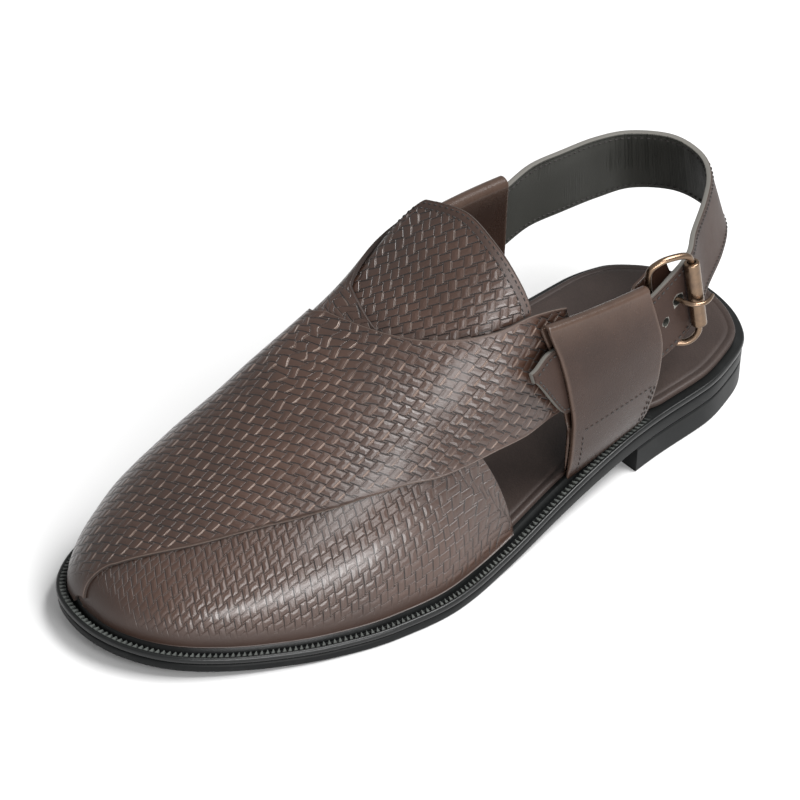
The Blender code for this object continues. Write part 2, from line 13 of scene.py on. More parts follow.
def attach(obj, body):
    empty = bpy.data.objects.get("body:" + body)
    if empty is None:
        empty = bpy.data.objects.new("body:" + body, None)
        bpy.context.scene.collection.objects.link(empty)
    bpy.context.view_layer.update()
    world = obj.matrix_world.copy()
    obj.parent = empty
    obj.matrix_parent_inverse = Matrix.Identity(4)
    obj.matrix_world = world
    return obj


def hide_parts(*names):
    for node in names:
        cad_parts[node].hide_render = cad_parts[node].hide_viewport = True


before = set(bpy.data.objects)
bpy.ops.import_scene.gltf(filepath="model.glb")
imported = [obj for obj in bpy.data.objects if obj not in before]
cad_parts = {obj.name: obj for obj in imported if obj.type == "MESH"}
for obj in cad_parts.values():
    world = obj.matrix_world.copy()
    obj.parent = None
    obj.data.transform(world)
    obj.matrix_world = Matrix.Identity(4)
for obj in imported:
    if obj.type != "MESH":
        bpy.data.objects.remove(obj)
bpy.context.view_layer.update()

MM = 0.001

# Driving sizes
LENGTH = 298.0          # sole, heel to toe
HEEL_LENGTH = 80.0      # heel block, back to breast
SEAT_TOP = 21.0         # top of the welt at the heel
TREAD_TOP = 7.2         # top of the welt under the ball
SEAT_RISE = 11.6        # bottom of the outsole over the heel block
TOE_SPRING = 5.7        # lift of the sole at the toe
TREAD_START = 0.58      # station where the outsole meets the ground
SPRING_START = 0.72     # station where it leaves the ground again
WELT_THICK = 3.0
GAP = 0.3               # clearance between touching pieces
CENTRE = (0.21, 1.68, 0.0)  # middle of the whole shoe, moved to the origin
WALL = 1.6              # leather of the two panels
CROSS_LIFT = 1.2        # how far the over panel rides above the last
TONGUE_WALL = 2.2
TONGUE_DROP = 0.1       # of the tongue's face under the last, besides the clearance
INSOLE_THICK = 2.4
QUARTER_OUTER = 1.5     # outer leather of a folded quarter
QUARTER_INNER = 1.2     # its inner leather
TUNNEL = 3.0            # space between them
QUARTER_ALL = QUARTER_OUTER + TUNNEL + QUARTER_INNER
QUARTER_FOOT = 2.4      # both leathers together at the quarter's foot
QUARTER_WIDTH, QUARTER_HEIGHT = 42, 70  # rounded, for the fields and the flat map
STRAP_THICK = 2.3
WIRE = 1.3              # radius of the buckle's wire
ROLLER = 3.0            # outer radius of the roller
PRONG = 0.95            # radius of the prong

# Sole outline: station, lateral half width, medial half width
SOLE = np.array([
    (0.0, 0, 0), (.015, 21.5, 17.7), (.04, 32, 28.4), (.08, 38, 37), (.14, 42.6, 40.3),
    (.22, 43.7, 40.3), (.32, 46.9, 36.9), (.42, 50.2, 34.3), (.52, 54.4, 36.2), (.62, 58.1, 43.0),
    (.70, 55.1, 50.3), (.78, 47.8, 56.5), (.85, 38.1, 57.8), (.91, 27.4, 53.4),
    (.955, 16.0, 46.3), (.985, 2.5, 36.7), (1.0, -16.9, 16.9)])

# Last: station, feather inset lateral and medial, crest height over the welt, crest side
# position, fullness of the lateral and of the medial side
LAST = np.array([
    (.30, 6.5, 4.0, 114.0, -6.0, 2.6, 2.8), (.36, 6.5, 4.0, 114.0, -9.7, 2.6, 2.84),
    (.42, 6.5, 4.0, 112.0, -15.5, 2.5, 2.96), (.47, 6.5, 3.5, 103.2, -19.2, 2.4, 3.06),
    (.52, 6.5, 3.5, 92.4, -21.5, 2.3, 3.05), (.58, 7.0, 4.0, 81.7, -21.5, 2.2, 2.95),
    (.66, 7.0, 5.0, 70.2, -20.6, 2.1, 2.85), (.74, 7.0, 6.0, 57.8, -18.9, 2.1, 2.62),
    (.82, 7.0, 6.5, 44.6, -18.3, 2.1, 2.51), (.89, 7.0, 7.0, 32.1, -18.4, 2.2, 2.37),
    (.94, 7.0, 7.0, 26.7, -16.8, 2.3, 2.3), (.9765, 7.0, 7.0, 23.0, -16.0, 2.4, 2.3)])
TOE_ROUND = 0.86        # station where the crest starts to round down to the toe
TOE_CUT = 0.975         # last full section, with a short cap in front of it
TOE_CAP = 0.004

# Panels on the last: share along the band, outer edge (station, turn), inner edge (station,
# turn). A turn of 0 is the lateral feather edge, 0.5 the crest, 1 the medial feather edge.
UNDER = np.array([
    (0.0, .979, 0, .979, .96), (.03, .975, 0, .975, .93), (.10, .962, 0, .964, .80),
    (.20, .925, 0, .93, .62), (.30, .87, 0, .885, .49), (.40, .79, 0, .83, .40),
    (.50, .70, 0, .79, .38), (.60, .60, 0, .755, .38), (.68, .493, 0, .715, .41),
    (.74, .522, .10, .685, .45), (.79, .548, .20, .66, .50), (.84, .566, .32, .635, .56),
    (.88, .571, .42, .61, .63), (.91, .560, .483, .58, .71), (.94, .535, .54, .54, .80),
    (.97, .475, .66, .45, .89), (1.0, .365, .80, .355, .935)])
OVER = np.array([
    (0.0, .9725, 1, .9735, .665), (.03, .970, 1, .970, .625), (.10, .955, 1, .962, .575),
    (.20, .915, 1, .937, .480), (.30, .85, 1, .905, .400), (.40, .76, 1, .868, .346),
    (.50, .66, 1, .830, .312), (.58, .58, 1, .798, .290), (.65, .51, 1, .770, .271),
    (.70, .535, .88, .748, .259), (.74, .565, .76, .722, .245), (.78, .590, .64, .695, .233),
    (.81, .599, .56, .670, .220), (.84, .590, .49, .638, .205), (.87, .575, .43, .603, .182),
    (.90, .550, .37, .568, .163), (.93, .515, .315, .522, .138), (.96, .470, .262, .465, .102),
    (1.0, .375, .193, .368, .060)])

# Tongue: turn, station of its lower edge, station of its top edge
TONGUE = np.array([
    (.20, .52, .440), (.235, .55, .421), (.31, .59, .426), (.375, .62, .430), (.43, .63, .432),
    (.48, .64, .441), (.52, .64, .455), (.56, .63, .474), (.62, .60, .495)])

# Quarters, outer face: share of height, front x, y, rear x, y
QUARTER_L = np.array([
    (0.0, 44.2, 33.0, 42.4, 69.5), (.06, 46.6, 30.0, 44.4, 71.0), (.2, 48.6, 29.8, 46.4, 73.0),
    (.4, 49.4, 29.5, 47.5, 75.2), (.6, 48.6, 27.4, 46.8, 76.6), (.8, 45.8, 25.0, 44.6, 74.9),
    (.93, 43.0, 22.6, 42.6, 73.4), (1.0, 41.4, 21.6, 41.4, 72.6)])
QUARTER_L_TOP = (95.0, 86.0)
QUARTER_M = np.array([
    (0.0, -35.0, 30.0, -37.0, 67.0), (.06, -36.6, 30.0, -38.6, 69.0),
    (.2, -38.4, 30.0, -40.2, 71.5), (.4, -39.6, 30.0, -41.2, 73.0),
    (.6, -39.8, 29.0, -41.2, 73.5), (.8, -39.0, 28.0, -40.4, 73.0),
    (.93, -37.8, 27.0, -39.4, 72.4), (1.0, -37.0, 26.4, -38.8, 72.0)])
QUARTER_M_TOP = (97.0, 92.5)

# Heel strap between the quarters: lower edge x, y, z and upper edge x, y, z
STRAP = np.array([
    (-39.6, 88, 58.5, -37.6, 87, 89.0), (-39.4, 105, 57.0, -37.2, 103, 88.0),
    (-38.5, 124, 55.2, -36.3, 120, 86.4), (-34.6, 139, 54.8, -32.0, 134, 85.0),
    (-21.0, 149.5, 56.0, -19.0, 143.5, 85.8), (-5.0, 151.0, 56.5, -5.5, 145, 84.8),
    (8.0, 147.0, 56.5, 5.0, 139.5, 83.8), (19.5, 133.5, 57.0, 15.5, 127, 83.8),
    (31.0, 114.5, 58.0, 27.0, 110, 84.5), (40.2, 100.5, 57.8, 36.3, 98.0, 85.6),
    (43.6, 88.0, 54.0, 39.4, 85.5, 83.0)])
# Holes through the strap: centre x, y, z, half length, half height
STRAP_HOLE = (42.8, 80.6, 66.6, 1.6, 1.6)       # punched for the prong, in front of the buckle
STRAP_SLOT = (42.2, 88.2, 72.2, 2.9, 1.9)       # where the prong comes out, before the roller

# Buckle frame: x, y, z along the closed wire, rear bar first
FRAME = np.array([
    (46.4, 95.6, 60.0), (44.1, 94.8, 74.0), (42.0, 94.0, 86.5), (41.4, 91.6, 90.6),
    (40.2, 86.0, 92.0), (38.6, 80.6, 91.4), (36.8, 77.2, 87.6), (35.7, 78.8, 78.0),
    (36.2, 81.6, 66.0), (37.8, 83.8, 57.5), (40.8, 87.2, 52.4), (44.2, 91.4, 51.6),
    (46.2, 94.6, 54.6)])

# Prong from behind its eye to its tip: x, y, z
TINE = np.array([
    (38.0, 83.4, 72.6), (39.0, 86.4, 72.4), (41.8, 88.4, 72.2), (45.2, 89.4, 72.0),
    (48.0, 91.2, 72.0), (49.3, 94.6, 71.8), (48.6, 98.2, 71.3), (47.0, 101.2, 70.7)])


def smooth(column, values):
    """Monotone cubic curve through a table's two columns, held flat outside."""
    x, y = np.asarray(column, float), np.asarray(values, float)
    h, d = np.diff(x), np.diff(y) / np.diff(x)
    m = np.zeros_like(y)
    m[0], m[-1] = d[0], d[-1]
    same = d[:-1] * d[1:] > 0
    w1, w2 = 2 * h[1:] + h[:-1], h[1:] + 2 * h[:-1]
    safe = np.where(same, d[:-1], 1), np.where(same, d[1:], 1)
    m[1:-1] = np.where(same, (w1 + w2) / (w1 / safe[0] + w2 / safe[1]), 0)

    def at(q):
        q = np.clip(np.asarray(q, float), x[0], x[-1])
        i = np.clip(np.searchsorted(x, q, side="right") - 1, 0, len(x) - 2)
        s = (q - x[i]) / h[i]
        a, b = (1 + 2 * s) * (1 - s) ** 2, s * (1 - s) ** 2
        c, e = s * s * (3 - 2 * s), s * s * (s - 1)
        return a * y[i] + b * h[i] * m[i] + c * y[i + 1] + e * h[i] * m[i + 1]
    return at


def curve(table, k):
    """Smooth curve of a table's column k over its first column."""
    return smooth(table[:, 0], table[:, k])


def ease(a, b, q):
    """0 below a, 1 above b, smooth between."""
    u = np.clip((np.asarray(q, float) - a) / (b - a), 0, 1)
    return u * u * (3 - 2 * u)


def row_y(t):
    """y of a station."""
    return LENGTH / 2 - np.asarray(t, float) * LENGTH


def station(y):
    """Station of a y."""
    return (LENGTH / 2 - y) / LENGTH


def spring(t):
    """Lift of the sole over the ground towards the toe."""
    return TOE_SPRING * np.clip((np.asarray(t, float) - SPRING_START) / (1 - SPRING_START), 0, 1) ** 2


def welt_top(t):
    """Height of the welt's upper face: the seat, the fall at the arch, the tread, the toe."""
    fall = ease(HEEL_LENGTH / LENGTH, TREAD_START, t)
    return SEAT_TOP + (TREAD_TOP - SEAT_TOP) * fall + spring(t)


def sole_bottom(t):
    """Height of the outsole's lower face."""
    return SEAT_RISE * (1 - ease(HEEL_LENGTH / LENGTH, TREAD_START, t)) + spring(t)


TURN = np.arccos(1 - 2 * SOLE[:, 0])
SIDE_L, SIDE_M = smooth(TURN, SOLE[:, 1]), smooth(TURN, SOLE[:, 2])


def half_outlines(inset_l, inset_m, n=400):
    """Side curves of the sole drawn in by an inset: x(y), lateral and medial, and the
    lowest and highest y that both reach."""
    turn = np.linspace(0, np.pi, n)
    t = (1 - np.cos(turn)) / 2
    loop = np.concatenate([np.stack([SIDE_L(turn), row_y(t)], 1),
                           np.stack([-SIDE_M(turn), row_y(t)], 1)[::-1][1:-1]])
    inset = np.concatenate([np.broadcast_to(inset_l(t), t.shape),
                            np.broadcast_to(inset_m(t), t.shape)[::-1][1:-1]])
    along = np.roll(loop, -1, 0) - np.roll(loop, 1, 0)
    inward = np.stack([along[:, 1], -along[:, 0]], 1)
    inward /= np.linalg.norm(inward, axis=1)[:, None]
    moved = loop + inward * inset[:, None]
    medial = np.concatenate([moved[n - 1:], moved[:1]])
    sides = [side[np.argsort(side[:, 1])] for side in (moved[:n], medial[::-1])]
    low, high = max(side[0, 1] for side in sides), min(side[-1, 1] for side in sides)
    return (lambda y: np.interp(y, sides[0][:, 1], sides[0][:, 0]),
            lambda y: np.interp(y, sides[1][:, 1], sides[1][:, 0]), low, high)


FEATHER_L, FEATHER_M, FEATHER_LOW, _ = half_outlines(curve(LAST, 1), curve(LAST, 2))
CREST, CREST_X, FULL_L, FULL_M = (curve(LAST, k) for k in (3, 4, 5, 6))


def last_point(t, turn):
    """Point of the last at a station and a turn round its section, over the welt's top.

    The section is a superellipse from each feather edge up to the crest; the crest rounds
    down at the toe, and past TOE_CUT a short cap brings the wall down to the welt.
    """
    t, turn = np.broadcast_arrays(np.asarray(t, float), np.asarray(turn, float))
    tc = np.minimum(t, TOE_CUT)
    cap = np.clip((t - TOE_CUT) / TOE_CAP, 0, 1)
    y = row_y(tc)
    left, right = FEATHER_L(y), FEATHER_M(y)
    tip = station(FEATHER_LOW)
    drop = np.clip((tc - TOE_ROUND) / (tip - TOE_ROUND), 0, 1)
    height = CREST(tc) * np.sqrt(1 - drop ** 2) * (1 - cap)
    c, s = np.abs(np.cos(np.pi * turn)), np.abs(np.sin(np.pi * turn))
    n = np.where(turn <= 0.5, FULL_L(tc), FULL_M(tc))
    crest = np.clip(CREST_X(tc), right + 1.5, left - 1.5)
    x = crest + (np.where(turn <= 0.5, left, right) - crest) * c ** (2 / n)
    across = (2 * x - left - right) / (left - right)
    y = y - cap * (y - FEATHER_LOW) * (1 - across ** 2)
    lift = GAP + .45 * ease(.85, .97, tc)
    return np.stack([x, y, welt_top(tc) + lift + height * s ** (2 / n)], -1)


def surface_normals(grid, towards):
    """Unit normals of a grid, on the side away from the given point."""
    n = np.cross(np.gradient(grid, axis=0), np.gradient(grid, axis=1))
    n /= np.linalg.norm(n, axis=2)[:, :, None] + 1e-12
    side = np.sign(np.sum((grid - towards) * n, axis=2).mean())
    return n * side


def rounded_path(points, n, closed=False):
    """Catmull-Rom curve through points, n steps to each span."""
    p = np.asarray(points, float)
    if closed:
        p = np.concatenate([p[-1:], p, p[:2]])
    else:
        p = np.concatenate([2 * p[:1] - p[1:2], p, 2 * p[-1:] - p[-2:-1]])
    out = []
    for k in range(1, len(p) - 2):
        for s in np.linspace(0, 1, n, endpoint=False):
            a, b, c, d = p[k - 1:k + 3]
            out.append(0.5 * (2 * b + (c - a) * s + (2 * a - 5 * b + 4 * c - d) * s * s
                              + (3 * b - a - 3 * c + d) * s ** 3))
    if not closed:
        out.append(p[-2])
    return np.array(out)


SLOPE_STEP = 0.01       # share of a quarter's height over which its slope is measured


def quarter_point(table, tops, a, s, depth):
    """Point of a quarter: share along it, share of its height, depth under its outer face."""
    a, s = np.broadcast_arrays(np.asarray(a, float), np.asarray(s, float))
    cols = [curve(table, k)(s) for k in (1, 2, 3, 4)]
    bulge = 0.8 * np.sign(table[0, 1]) * 4 * np.clip(a * (1 - a), 0, 1)
    x = cols[0] + (cols[2] - cols[0]) * a + bulge
    y = cols[1] + (cols[3] - cols[1]) * a
    foot_y = table[0, 2] + (table[0, 4] - table[0, 2]) * a
    foot_z = welt_top(station(foot_y)) + GAP + .2
    head_z = tops[0] + (tops[1] - tops[0]) * a
    z = foot_z * (1 - s) + head_z * s
    above, below = np.clip(s + SLOPE_STEP, 0, 1), np.clip(s - SLOPE_STEP, 0, 1)
    ahead = [curve(table, k)(above) - curve(table, k)(below) for k in (1, 3)]
    rise = (above - below) * (head_z - foot_z)
    slope = (ahead[0] * (1 - a) + ahead[1] * a) / rise
    norm = np.sqrt(1 + slope ** 2)
    out = np.sign(table[0, 1])
    x = x - out * depth / norm
    z = z + out * slope * depth / norm
    return np.stack([x, y, z], -1)


def strap_columns():
    """Lower, middle and upper points of the strap from its medial end to its lateral tip."""
    depth = QUARTER_OUTER + TUNNEL / 2
    rows = []
    for a in np.linspace(.12, 1.0, 9):
        s = np.array([.50, .72, .92]) - 0.02 * (1 - a)
        rows.append(quarter_point(QUARTER_M, QUARTER_M_TOP, a, s, depth))
    for r in STRAP:
        low, top = r[:3], r[3:]
        rows.append(np.array([low, (low + top) / 2, top]))
    for a in np.concatenate([np.linspace(1.0, 0, 9), [-.10, -.20, -.28]]):
        share = (1 - a) / 1.28
        low, top = .46 + .02 * share, .90 - .06 * share
        s = np.array([low, (low + top) / 2, top])
        point = quarter_point(QUARTER_L, QUARTER_L_TOP, a, s, depth)
        point[:, 0] += 1.6 * ease(0, .28, -a)
        rows.append(point)
    return np.array(rows)


# Mesh making


def mesh_object(name, points, quads, mat, uv=None, fields=None, slot=None, replaces=(), sharp=None):
    """Object from an array of points in mm and an array of quads, with a flat map in mm
    (one pair a point) and named number fields (one value a point)."""
    points = (np.asarray(points, float) - CENTRE) * MM
    quads = np.asarray(quads, np.int32)
    mesh = bpy.data.meshes.new(name)
    mesh.vertices.add(len(points))
    mesh.vertices.foreach_set("co", points.ravel())
    mesh.loops.add(quads.size)
    mesh.loops.foreach_set("vertex_index", quads.ravel())
    mesh.polygons.add(len(quads))
    mesh.polygons.foreach_set("loop_start", np.arange(len(quads), dtype=np.int32) * 4)
    mesh.update(calc_edges=True)
    if uv is not None:
        layer = mesh.uv_layers.new(name="UVMap")
        layer.data.foreach_set("uv", (np.asarray(uv, float)[quads.ravel()] * 0.01).ravel())
    for key, values in (fields or {}).items():
        field = mesh.attributes.new(key, "FLOAT", "POINT")
        field.data.foreach_set("value", np.asarray(values, np.float32).ravel())
    mesh.shade_smooth()
    if sharp:
        mesh.set_sharp_from_angle(angle=np.radians(sharp))
    mesh.materials.append(mat)
    obj = bpy.data.objects.new(name, mesh)
    bpy.context.scene.collection.objects.link(obj)
    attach(obj, "root")
    if replaces:
        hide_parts(*replaces)
    return obj


def grid_quads(n, m, wrap_n=False, wrap_m=False, start=0):
    """Quads of an n by m grid of points, row after row, joined round where asked."""
    index = np.arange(n * m).reshape(n, m) + start
    a = np.concatenate([index, index[:1]]) if wrap_n else index
    a = np.concatenate([a, a[:, :1]], 1) if wrap_m else a
    return np.stack([a[:-1, :-1], a[:-1, 1:], a[1:, 1:], a[1:, :-1]], -1).reshape(-1, 4)


def outward(points, quads):
    """Quads turned so that the closed surface's signed volume is positive."""
    a, b, c, d = (points[quads[:, k]] for k in range(4))
    volume = np.sum(np.cross(b, c) * a) + np.sum(np.cross(c, d) * a)
    return quads if volume > 0 else quads[:, ::-1]


RIM_ANGLES = (30, 60, 90)   # where a cut edge's quarter circles have points
RIM_RINGS = 2 * len(RIM_ANGLES)


def leather(base, normal, low, high, edge=0.35):
    """Closed sheet of leather over a grid: points, quads and the grid point under each point.

    The upper face is base + high * normal, the lower one base + low * normal, and the rim
    runs over a rounded edge of the given radius, a quarter circle at each face.
    """
    n, m = base.shape[:2]
    index = np.arange(n * m).reshape(n, m)
    rim = np.concatenate([index[:, 0], index[-1, 1:], index[-2::-1, -1], index[0, -2:0:-1]])
    flat, unit = base.reshape(-1, 3), normal.reshape(-1, 3)
    low = np.broadcast_to(low, (n, m)).reshape(-1)
    high = np.broadcast_to(high, (n, m)).reshape(-1)
    loop = flat[rim]
    along = np.roll(loop, -1, 0) - np.roll(loop, 1, 0)
    out = np.cross(along, unit[rim])
    out /= np.linalg.norm(out, axis=1)[:, None] + 1e-12
    inner = base[1:-1, 1:-1].reshape(-1, 3).mean(0)
    out = out * np.sign(np.sum(out * (loop - inner)))
    top, bottom = flat + unit * high[:, None], flat + unit * low[:, None]
    top[rim] -= out * edge
    bottom[rim] -= out * edge
    rings = []
    for face, inward, angles in ((high, -edge, RIM_ANGLES), (low, edge, RIM_ANGLES[::-1])):
        for a in np.radians(angles):
            height = face[rim] + inward * (1 - np.cos(a))
            rings.append(loop + unit[rim] * height[:, None] - out * edge * (1 - np.sin(a)))
    points = np.concatenate([top, bottom] + rings)
    rows = np.concatenate([index.ravel(), index.ravel()] + [rim] * len(rings))
    chain = [rim] + [2 * n * m + k * len(rim) + np.arange(len(rim)) for k in range(len(rings))]
    chain.append(rim + n * m)
    quads = [grid_quads(n, m), grid_quads(n, m, start=n * m)[:, ::-1]]
    for a, b in zip(chain[:-1], chain[1:]):
        quads.append(np.stack([a, b, np.roll(b, -1), np.roll(a, -1)], -1))
    quads = np.concatenate(quads)
    return points, outward(points, quads), rows


def tube_points(path, radius, sides, closed=False):
    """Round bar along a path: a circle carried square to the path without twisting, its
    radius one number or one a point. An open bar ends in rings drawn in to the axis."""
    path = np.asarray(path, float)
    radius = np.broadcast_to(radius, (len(path),)).astype(float)
    along = np.roll(path, -1, 0) - np.roll(path, 1, 0) if closed else np.gradient(path, axis=0)
    along /= np.linalg.norm(along, axis=1)[:, None]
    if not closed:
        path = np.concatenate([path[:1], path[:1], path, path[-1:], path[-1:]])
        along = np.concatenate([along[:1], along[:1], along, along[-1:], along[-1:]])
        radius = np.concatenate([[1e-4, radius[0] * .75], radius, [radius[-1] * .75, 1e-4]])
        path[0] -= along[0] * radius[2] * .55
        path[1] -= along[0] * radius[2] * .4
        path[-1] += along[-1] * radius[-3] * .55
        path[-2] += along[-1] * radius[-3] * .4
    normal = np.cross(along[0], (0.3, 0.2, 0.9))
    turn = np.linspace(0, 2 * np.pi, sides, endpoint=False)
    loops = []
    for p, t, r in zip(path, along, radius):
        normal = normal - t * np.dot(normal, t)
        normal /= np.linalg.norm(normal)
        other = np.cross(t, normal)
        loops.append(p + r * (np.cos(turn)[:, None] * normal + np.sin(turn)[:, None] * other))
    points = np.array(loops).reshape(-1, 3)
    quads = grid_quads(len(loops), sides, wrap_n=closed, wrap_m=True)
    return points, outward(points, quads)


def joined(parts):
    """Several (points, quads) as one."""
    points, quads, start = [], [], 0
    for p, q in parts:
        points.append(p)
        quads.append(q + start)
        start += len(p)
    return np.concatenate(points), np.concatenate(quads)


def resample(path, normals, pitch):
    """Points and normals at even steps along a path, from half a step inside its ends."""
    step = np.linalg.norm(np.diff(path, axis=0), axis=1)
    run = np.concatenate([[0], np.cumsum(step)])
    first, last = pitch / 2, run[-1] - pitch / 2
    n = max(2, int(round((last - first) / pitch)) + 1)
    at = np.linspace(first, last, n)
    p = np.stack([np.interp(at, run, path[:, k]) for k in range(3)], 1)
    q = np.stack([np.interp(at, run, normals[:, k]) for k in range(3)], 1)
    return p, q / np.linalg.norm(q, axis=1)[:, None]


STITCH_RINGS, STITCH_SIDES = 7, 6
STITCH_LIFT = 0.12      # how far the middle of a stitch stands over the leather
STITCH_SINK = 0.22      # how far its ends go into it


def stitches(path, normals, pitch, length, radius):
    """Row of stitches: short bars along the path, each an arch that sinks at its ends."""
    p, n = resample(path, normals, pitch)
    t = np.gradient(p, axis=0)
    t /= np.linalg.norm(t, axis=1)[:, None]
    s = np.cross(t, n)
    u = np.linspace(-1, 1, STITCH_RINGS)
    turn = np.linspace(0, 2 * np.pi, STITCH_SIDES, endpoint=False)
    height = STITCH_LIFT * (1 - u ** 2) - STITCH_SINK * np.abs(u) ** 3
    fat = radius * np.sqrt(np.clip(1 - np.abs(u) ** 4, 0.003, 1))
    centre = (p[:, None] + t[:, None] * (u * length / 2)[None, :, None]
              + n[:, None] * height[None, :, None])
    ring = (s[:, None, None] * np.cos(turn)[None, None, :, None]
            + n[:, None, None] * np.sin(turn)[None, None, :, None])
    points = centre[:, :, None] + ring * fat[None, :, None, None]
    one = outward(points[0].reshape(-1, 3), grid_quads(STITCH_RINGS, STITCH_SIDES, wrap_m=True))
    starts = np.arange(len(p)) * STITCH_RINGS * STITCH_SIDES
    quads = (one[None] + starts[:, None, None]).reshape(-1, 4)
    return points.reshape(-1, 3), quads


RELAX_ROUNDS, RELAX_STEP = 500, 1.4


def flatten(grid, middle):
    """Flat map of a leather panel, in mm: a net of springs of the grid's own edge and
    diagonal lengths. It starts from straight rows laid along one unrolled line, each
    at the angle it has to that line on the panel, and is relaxed in the plane."""
    n, m = grid.shape[:2]
    across = np.concatenate([np.zeros((n, 1)),
                             np.cumsum(np.linalg.norm(np.diff(grid, axis=1), axis=2), 1)], 1)
    across -= across[:, middle:middle + 1]
    step = np.diff(grid[:, middle], axis=0)
    far = np.linalg.norm(step, axis=1)
    row = grid[:, middle + 1] - grid[:, middle - 1]
    row /= np.linalg.norm(row, axis=1)[:, None]
    before, after = (np.arccos(np.clip((r * step).sum(1) / far, -1, 1)) for r in (row[:-1], row[1:]))
    turn = np.concatenate([[0], np.cumsum(before - after)])
    ahead = turn[:-1] + before
    line = np.cumsum(far[:, None] * np.stack([np.cos(ahead), np.sin(ahead)], 1), 0)
    line = np.concatenate([np.zeros((1, 2)), line])
    flat = line[:, None] + across[:, :, None] * np.stack([np.cos(turn), np.sin(turn)], 1)[:, None]
    pairs = [((slice(0, n - 1), slice(0, m)), (slice(1, n), slice(0, m))),
             ((slice(0, n), slice(0, m - 1)), (slice(0, n), slice(1, m))),
             ((slice(0, n - 1), slice(0, m - 1)), (slice(1, n), slice(1, m))),
             ((slice(1, n), slice(0, m - 1)), (slice(0, n - 1), slice(1, m)))]
    length = [np.linalg.norm(grid[a] - grid[b], axis=2) for a, b in pairs]
    for _ in range(RELAX_ROUNDS):
        move, count = np.zeros_like(flat), np.zeros((n, m, 1))
        for (a, b), want in zip(pairs, length):
            gap = flat[b] - flat[a]
            have = np.linalg.norm(gap, axis=2) + 1e-9
            pull = gap * ((have - want) / have * 0.5)[:, :, None]
            move[a] += pull
            move[b] -= pull
            count[a] += 1
            count[b] += 1
        flat += move / count * RELAX_STEP
    return flat


def edge_distance(grid):
    """Distance along the surface from each grid point to each of the panel's four sides."""
    dv = np.linalg.norm(np.diff(grid, axis=1), axis=2)
    du = np.linalg.norm(np.diff(grid, axis=0), axis=2)
    zero_v, zero_u = np.zeros((grid.shape[0], 1)), np.zeros((1, grid.shape[1]))
    left = np.concatenate([zero_v, np.cumsum(dv, 1)], 1)
    start = np.concatenate([zero_u, np.cumsum(du, 0)], 0)
    return left, left[:, -1:] - left, start, start[-1:] - start


def panel_base(table, columns, rows):
    """Panel's grid on the last, between its outer and inner edge curves."""
    u = np.linspace(0, 1, columns)
    edge = [curve(table, k)(u) for k in (1, 2, 3, 4)]
    v = np.linspace(0, 1, rows)[None, :]
    t = edge[0][:, None] * (1 - v) + edge[2][:, None] * v
    turn = edge[1][:, None] * (1 - v) + edge[3][:, None] * v
    return last_point(t, turn)


# Shader maths


class Value:
    """A socket of a node tree that can be used in sums like a number."""

    def __init__(self, tree, socket):
        self.tree = tree
        self.socket = socket

    def math(self, operation, *others):
        node = self.tree.nodes.new("ShaderNodeMath")
        node.operation = operation
        for k, value in enumerate((self, *others)):
            put(self.tree, node.inputs[k], value)
        return Value(self.tree, node.outputs[0])

    def __add__(self, other):
        return self.math("ADD", other)

    def __mul__(self, other):
        return self.math("MULTIPLY", other)

    def __sub__(self, other):
        return self.math("SUBTRACT", other)

    def __neg__(self):
        return self * -1.0

    def __rsub__(self, other):
        return -self + other

    __radd__ = __add__
    __rmul__ = __mul__

    def abs(self):
        return self.math("ABSOLUTE")

    def low(self, other):
        return self.math("MINIMUM", other)

    def high(self, other):
        return self.math("MAXIMUM", other)

    def ramp(self, a, b):
        """0 at a and 1 at b, smooth between them; a may be over b."""
        if a > b:
            return 1.0 - self.ramp(b, a)
        return node(self.tree, "MapRange", settings={"interpolation_type": "SMOOTHSTEP"},
                    inputs={"Value": self, "From Min": a, "From Max": b})


def put(tree, socket, value):
    """A number, colour or Value set on a socket."""
    if isinstance(value, Value):
        tree.links.new(value.socket, socket)
    else:
        socket.default_value = value


def node(tree, kind, out=0, settings=None, inputs=None):
    """Any other node: its settings, its inputs by name or number, one output back."""
    made = tree.nodes.new("ShaderNode" + kind)
    for key, value in (settings or {}).items():
        setattr(made, key, value)
    for key, value in (inputs or {}).items():
        put(tree, made.inputs[key], value)
    return Value(tree, made.outputs[out])


def new_look(name):
    """New material: itself, its node tree, its shader and the object's coordinates (metres)."""
    mat = bpy.data.materials.new(name)
    mat.use_nodes = True
    tree = mat.node_tree
    return mat, tree, tree.nodes["Principled BSDF"], node(tree, "TexCoord", out=3)


def field(tree, name):
    """One of the mesh's named number fields."""
    return node(tree, "Attribute", out=2, settings={"attribute_name": name})


def noise(tree, vector, scale, detail=3.0, rough=0.55, out=0):
    return node(tree, "TexNoise", out=out, inputs={"Vector": vector, "Scale": scale,
                                                    "Detail": detail, "Roughness": rough})


def blend(tree, share, a, b):
    """Colour a where share is 0 and b where it is 1."""
    made = tree.nodes.new("ShaderNodeMix")
    made.data_type = "RGBA"
    put(tree, made.inputs[0], share)
    put(tree, made.inputs[6], a if isinstance(a, Value) else (*a, 1.0))
    put(tree, made.inputs[7], b if isinstance(b, Value) else (*b, 1.0))
    return Value(tree, made.outputs[2])


def relief(tree, height, depth, strength=1.0, under=None):
    """Normal bumped by a height of 0 to 1 that stands for the given depth in mm."""
    inputs = {"Height": height, "Distance": depth * MM, "Strength": strength}
    if under is not None:
        inputs["Normal"] = under
    return node(tree, "Bump", inputs=inputs)


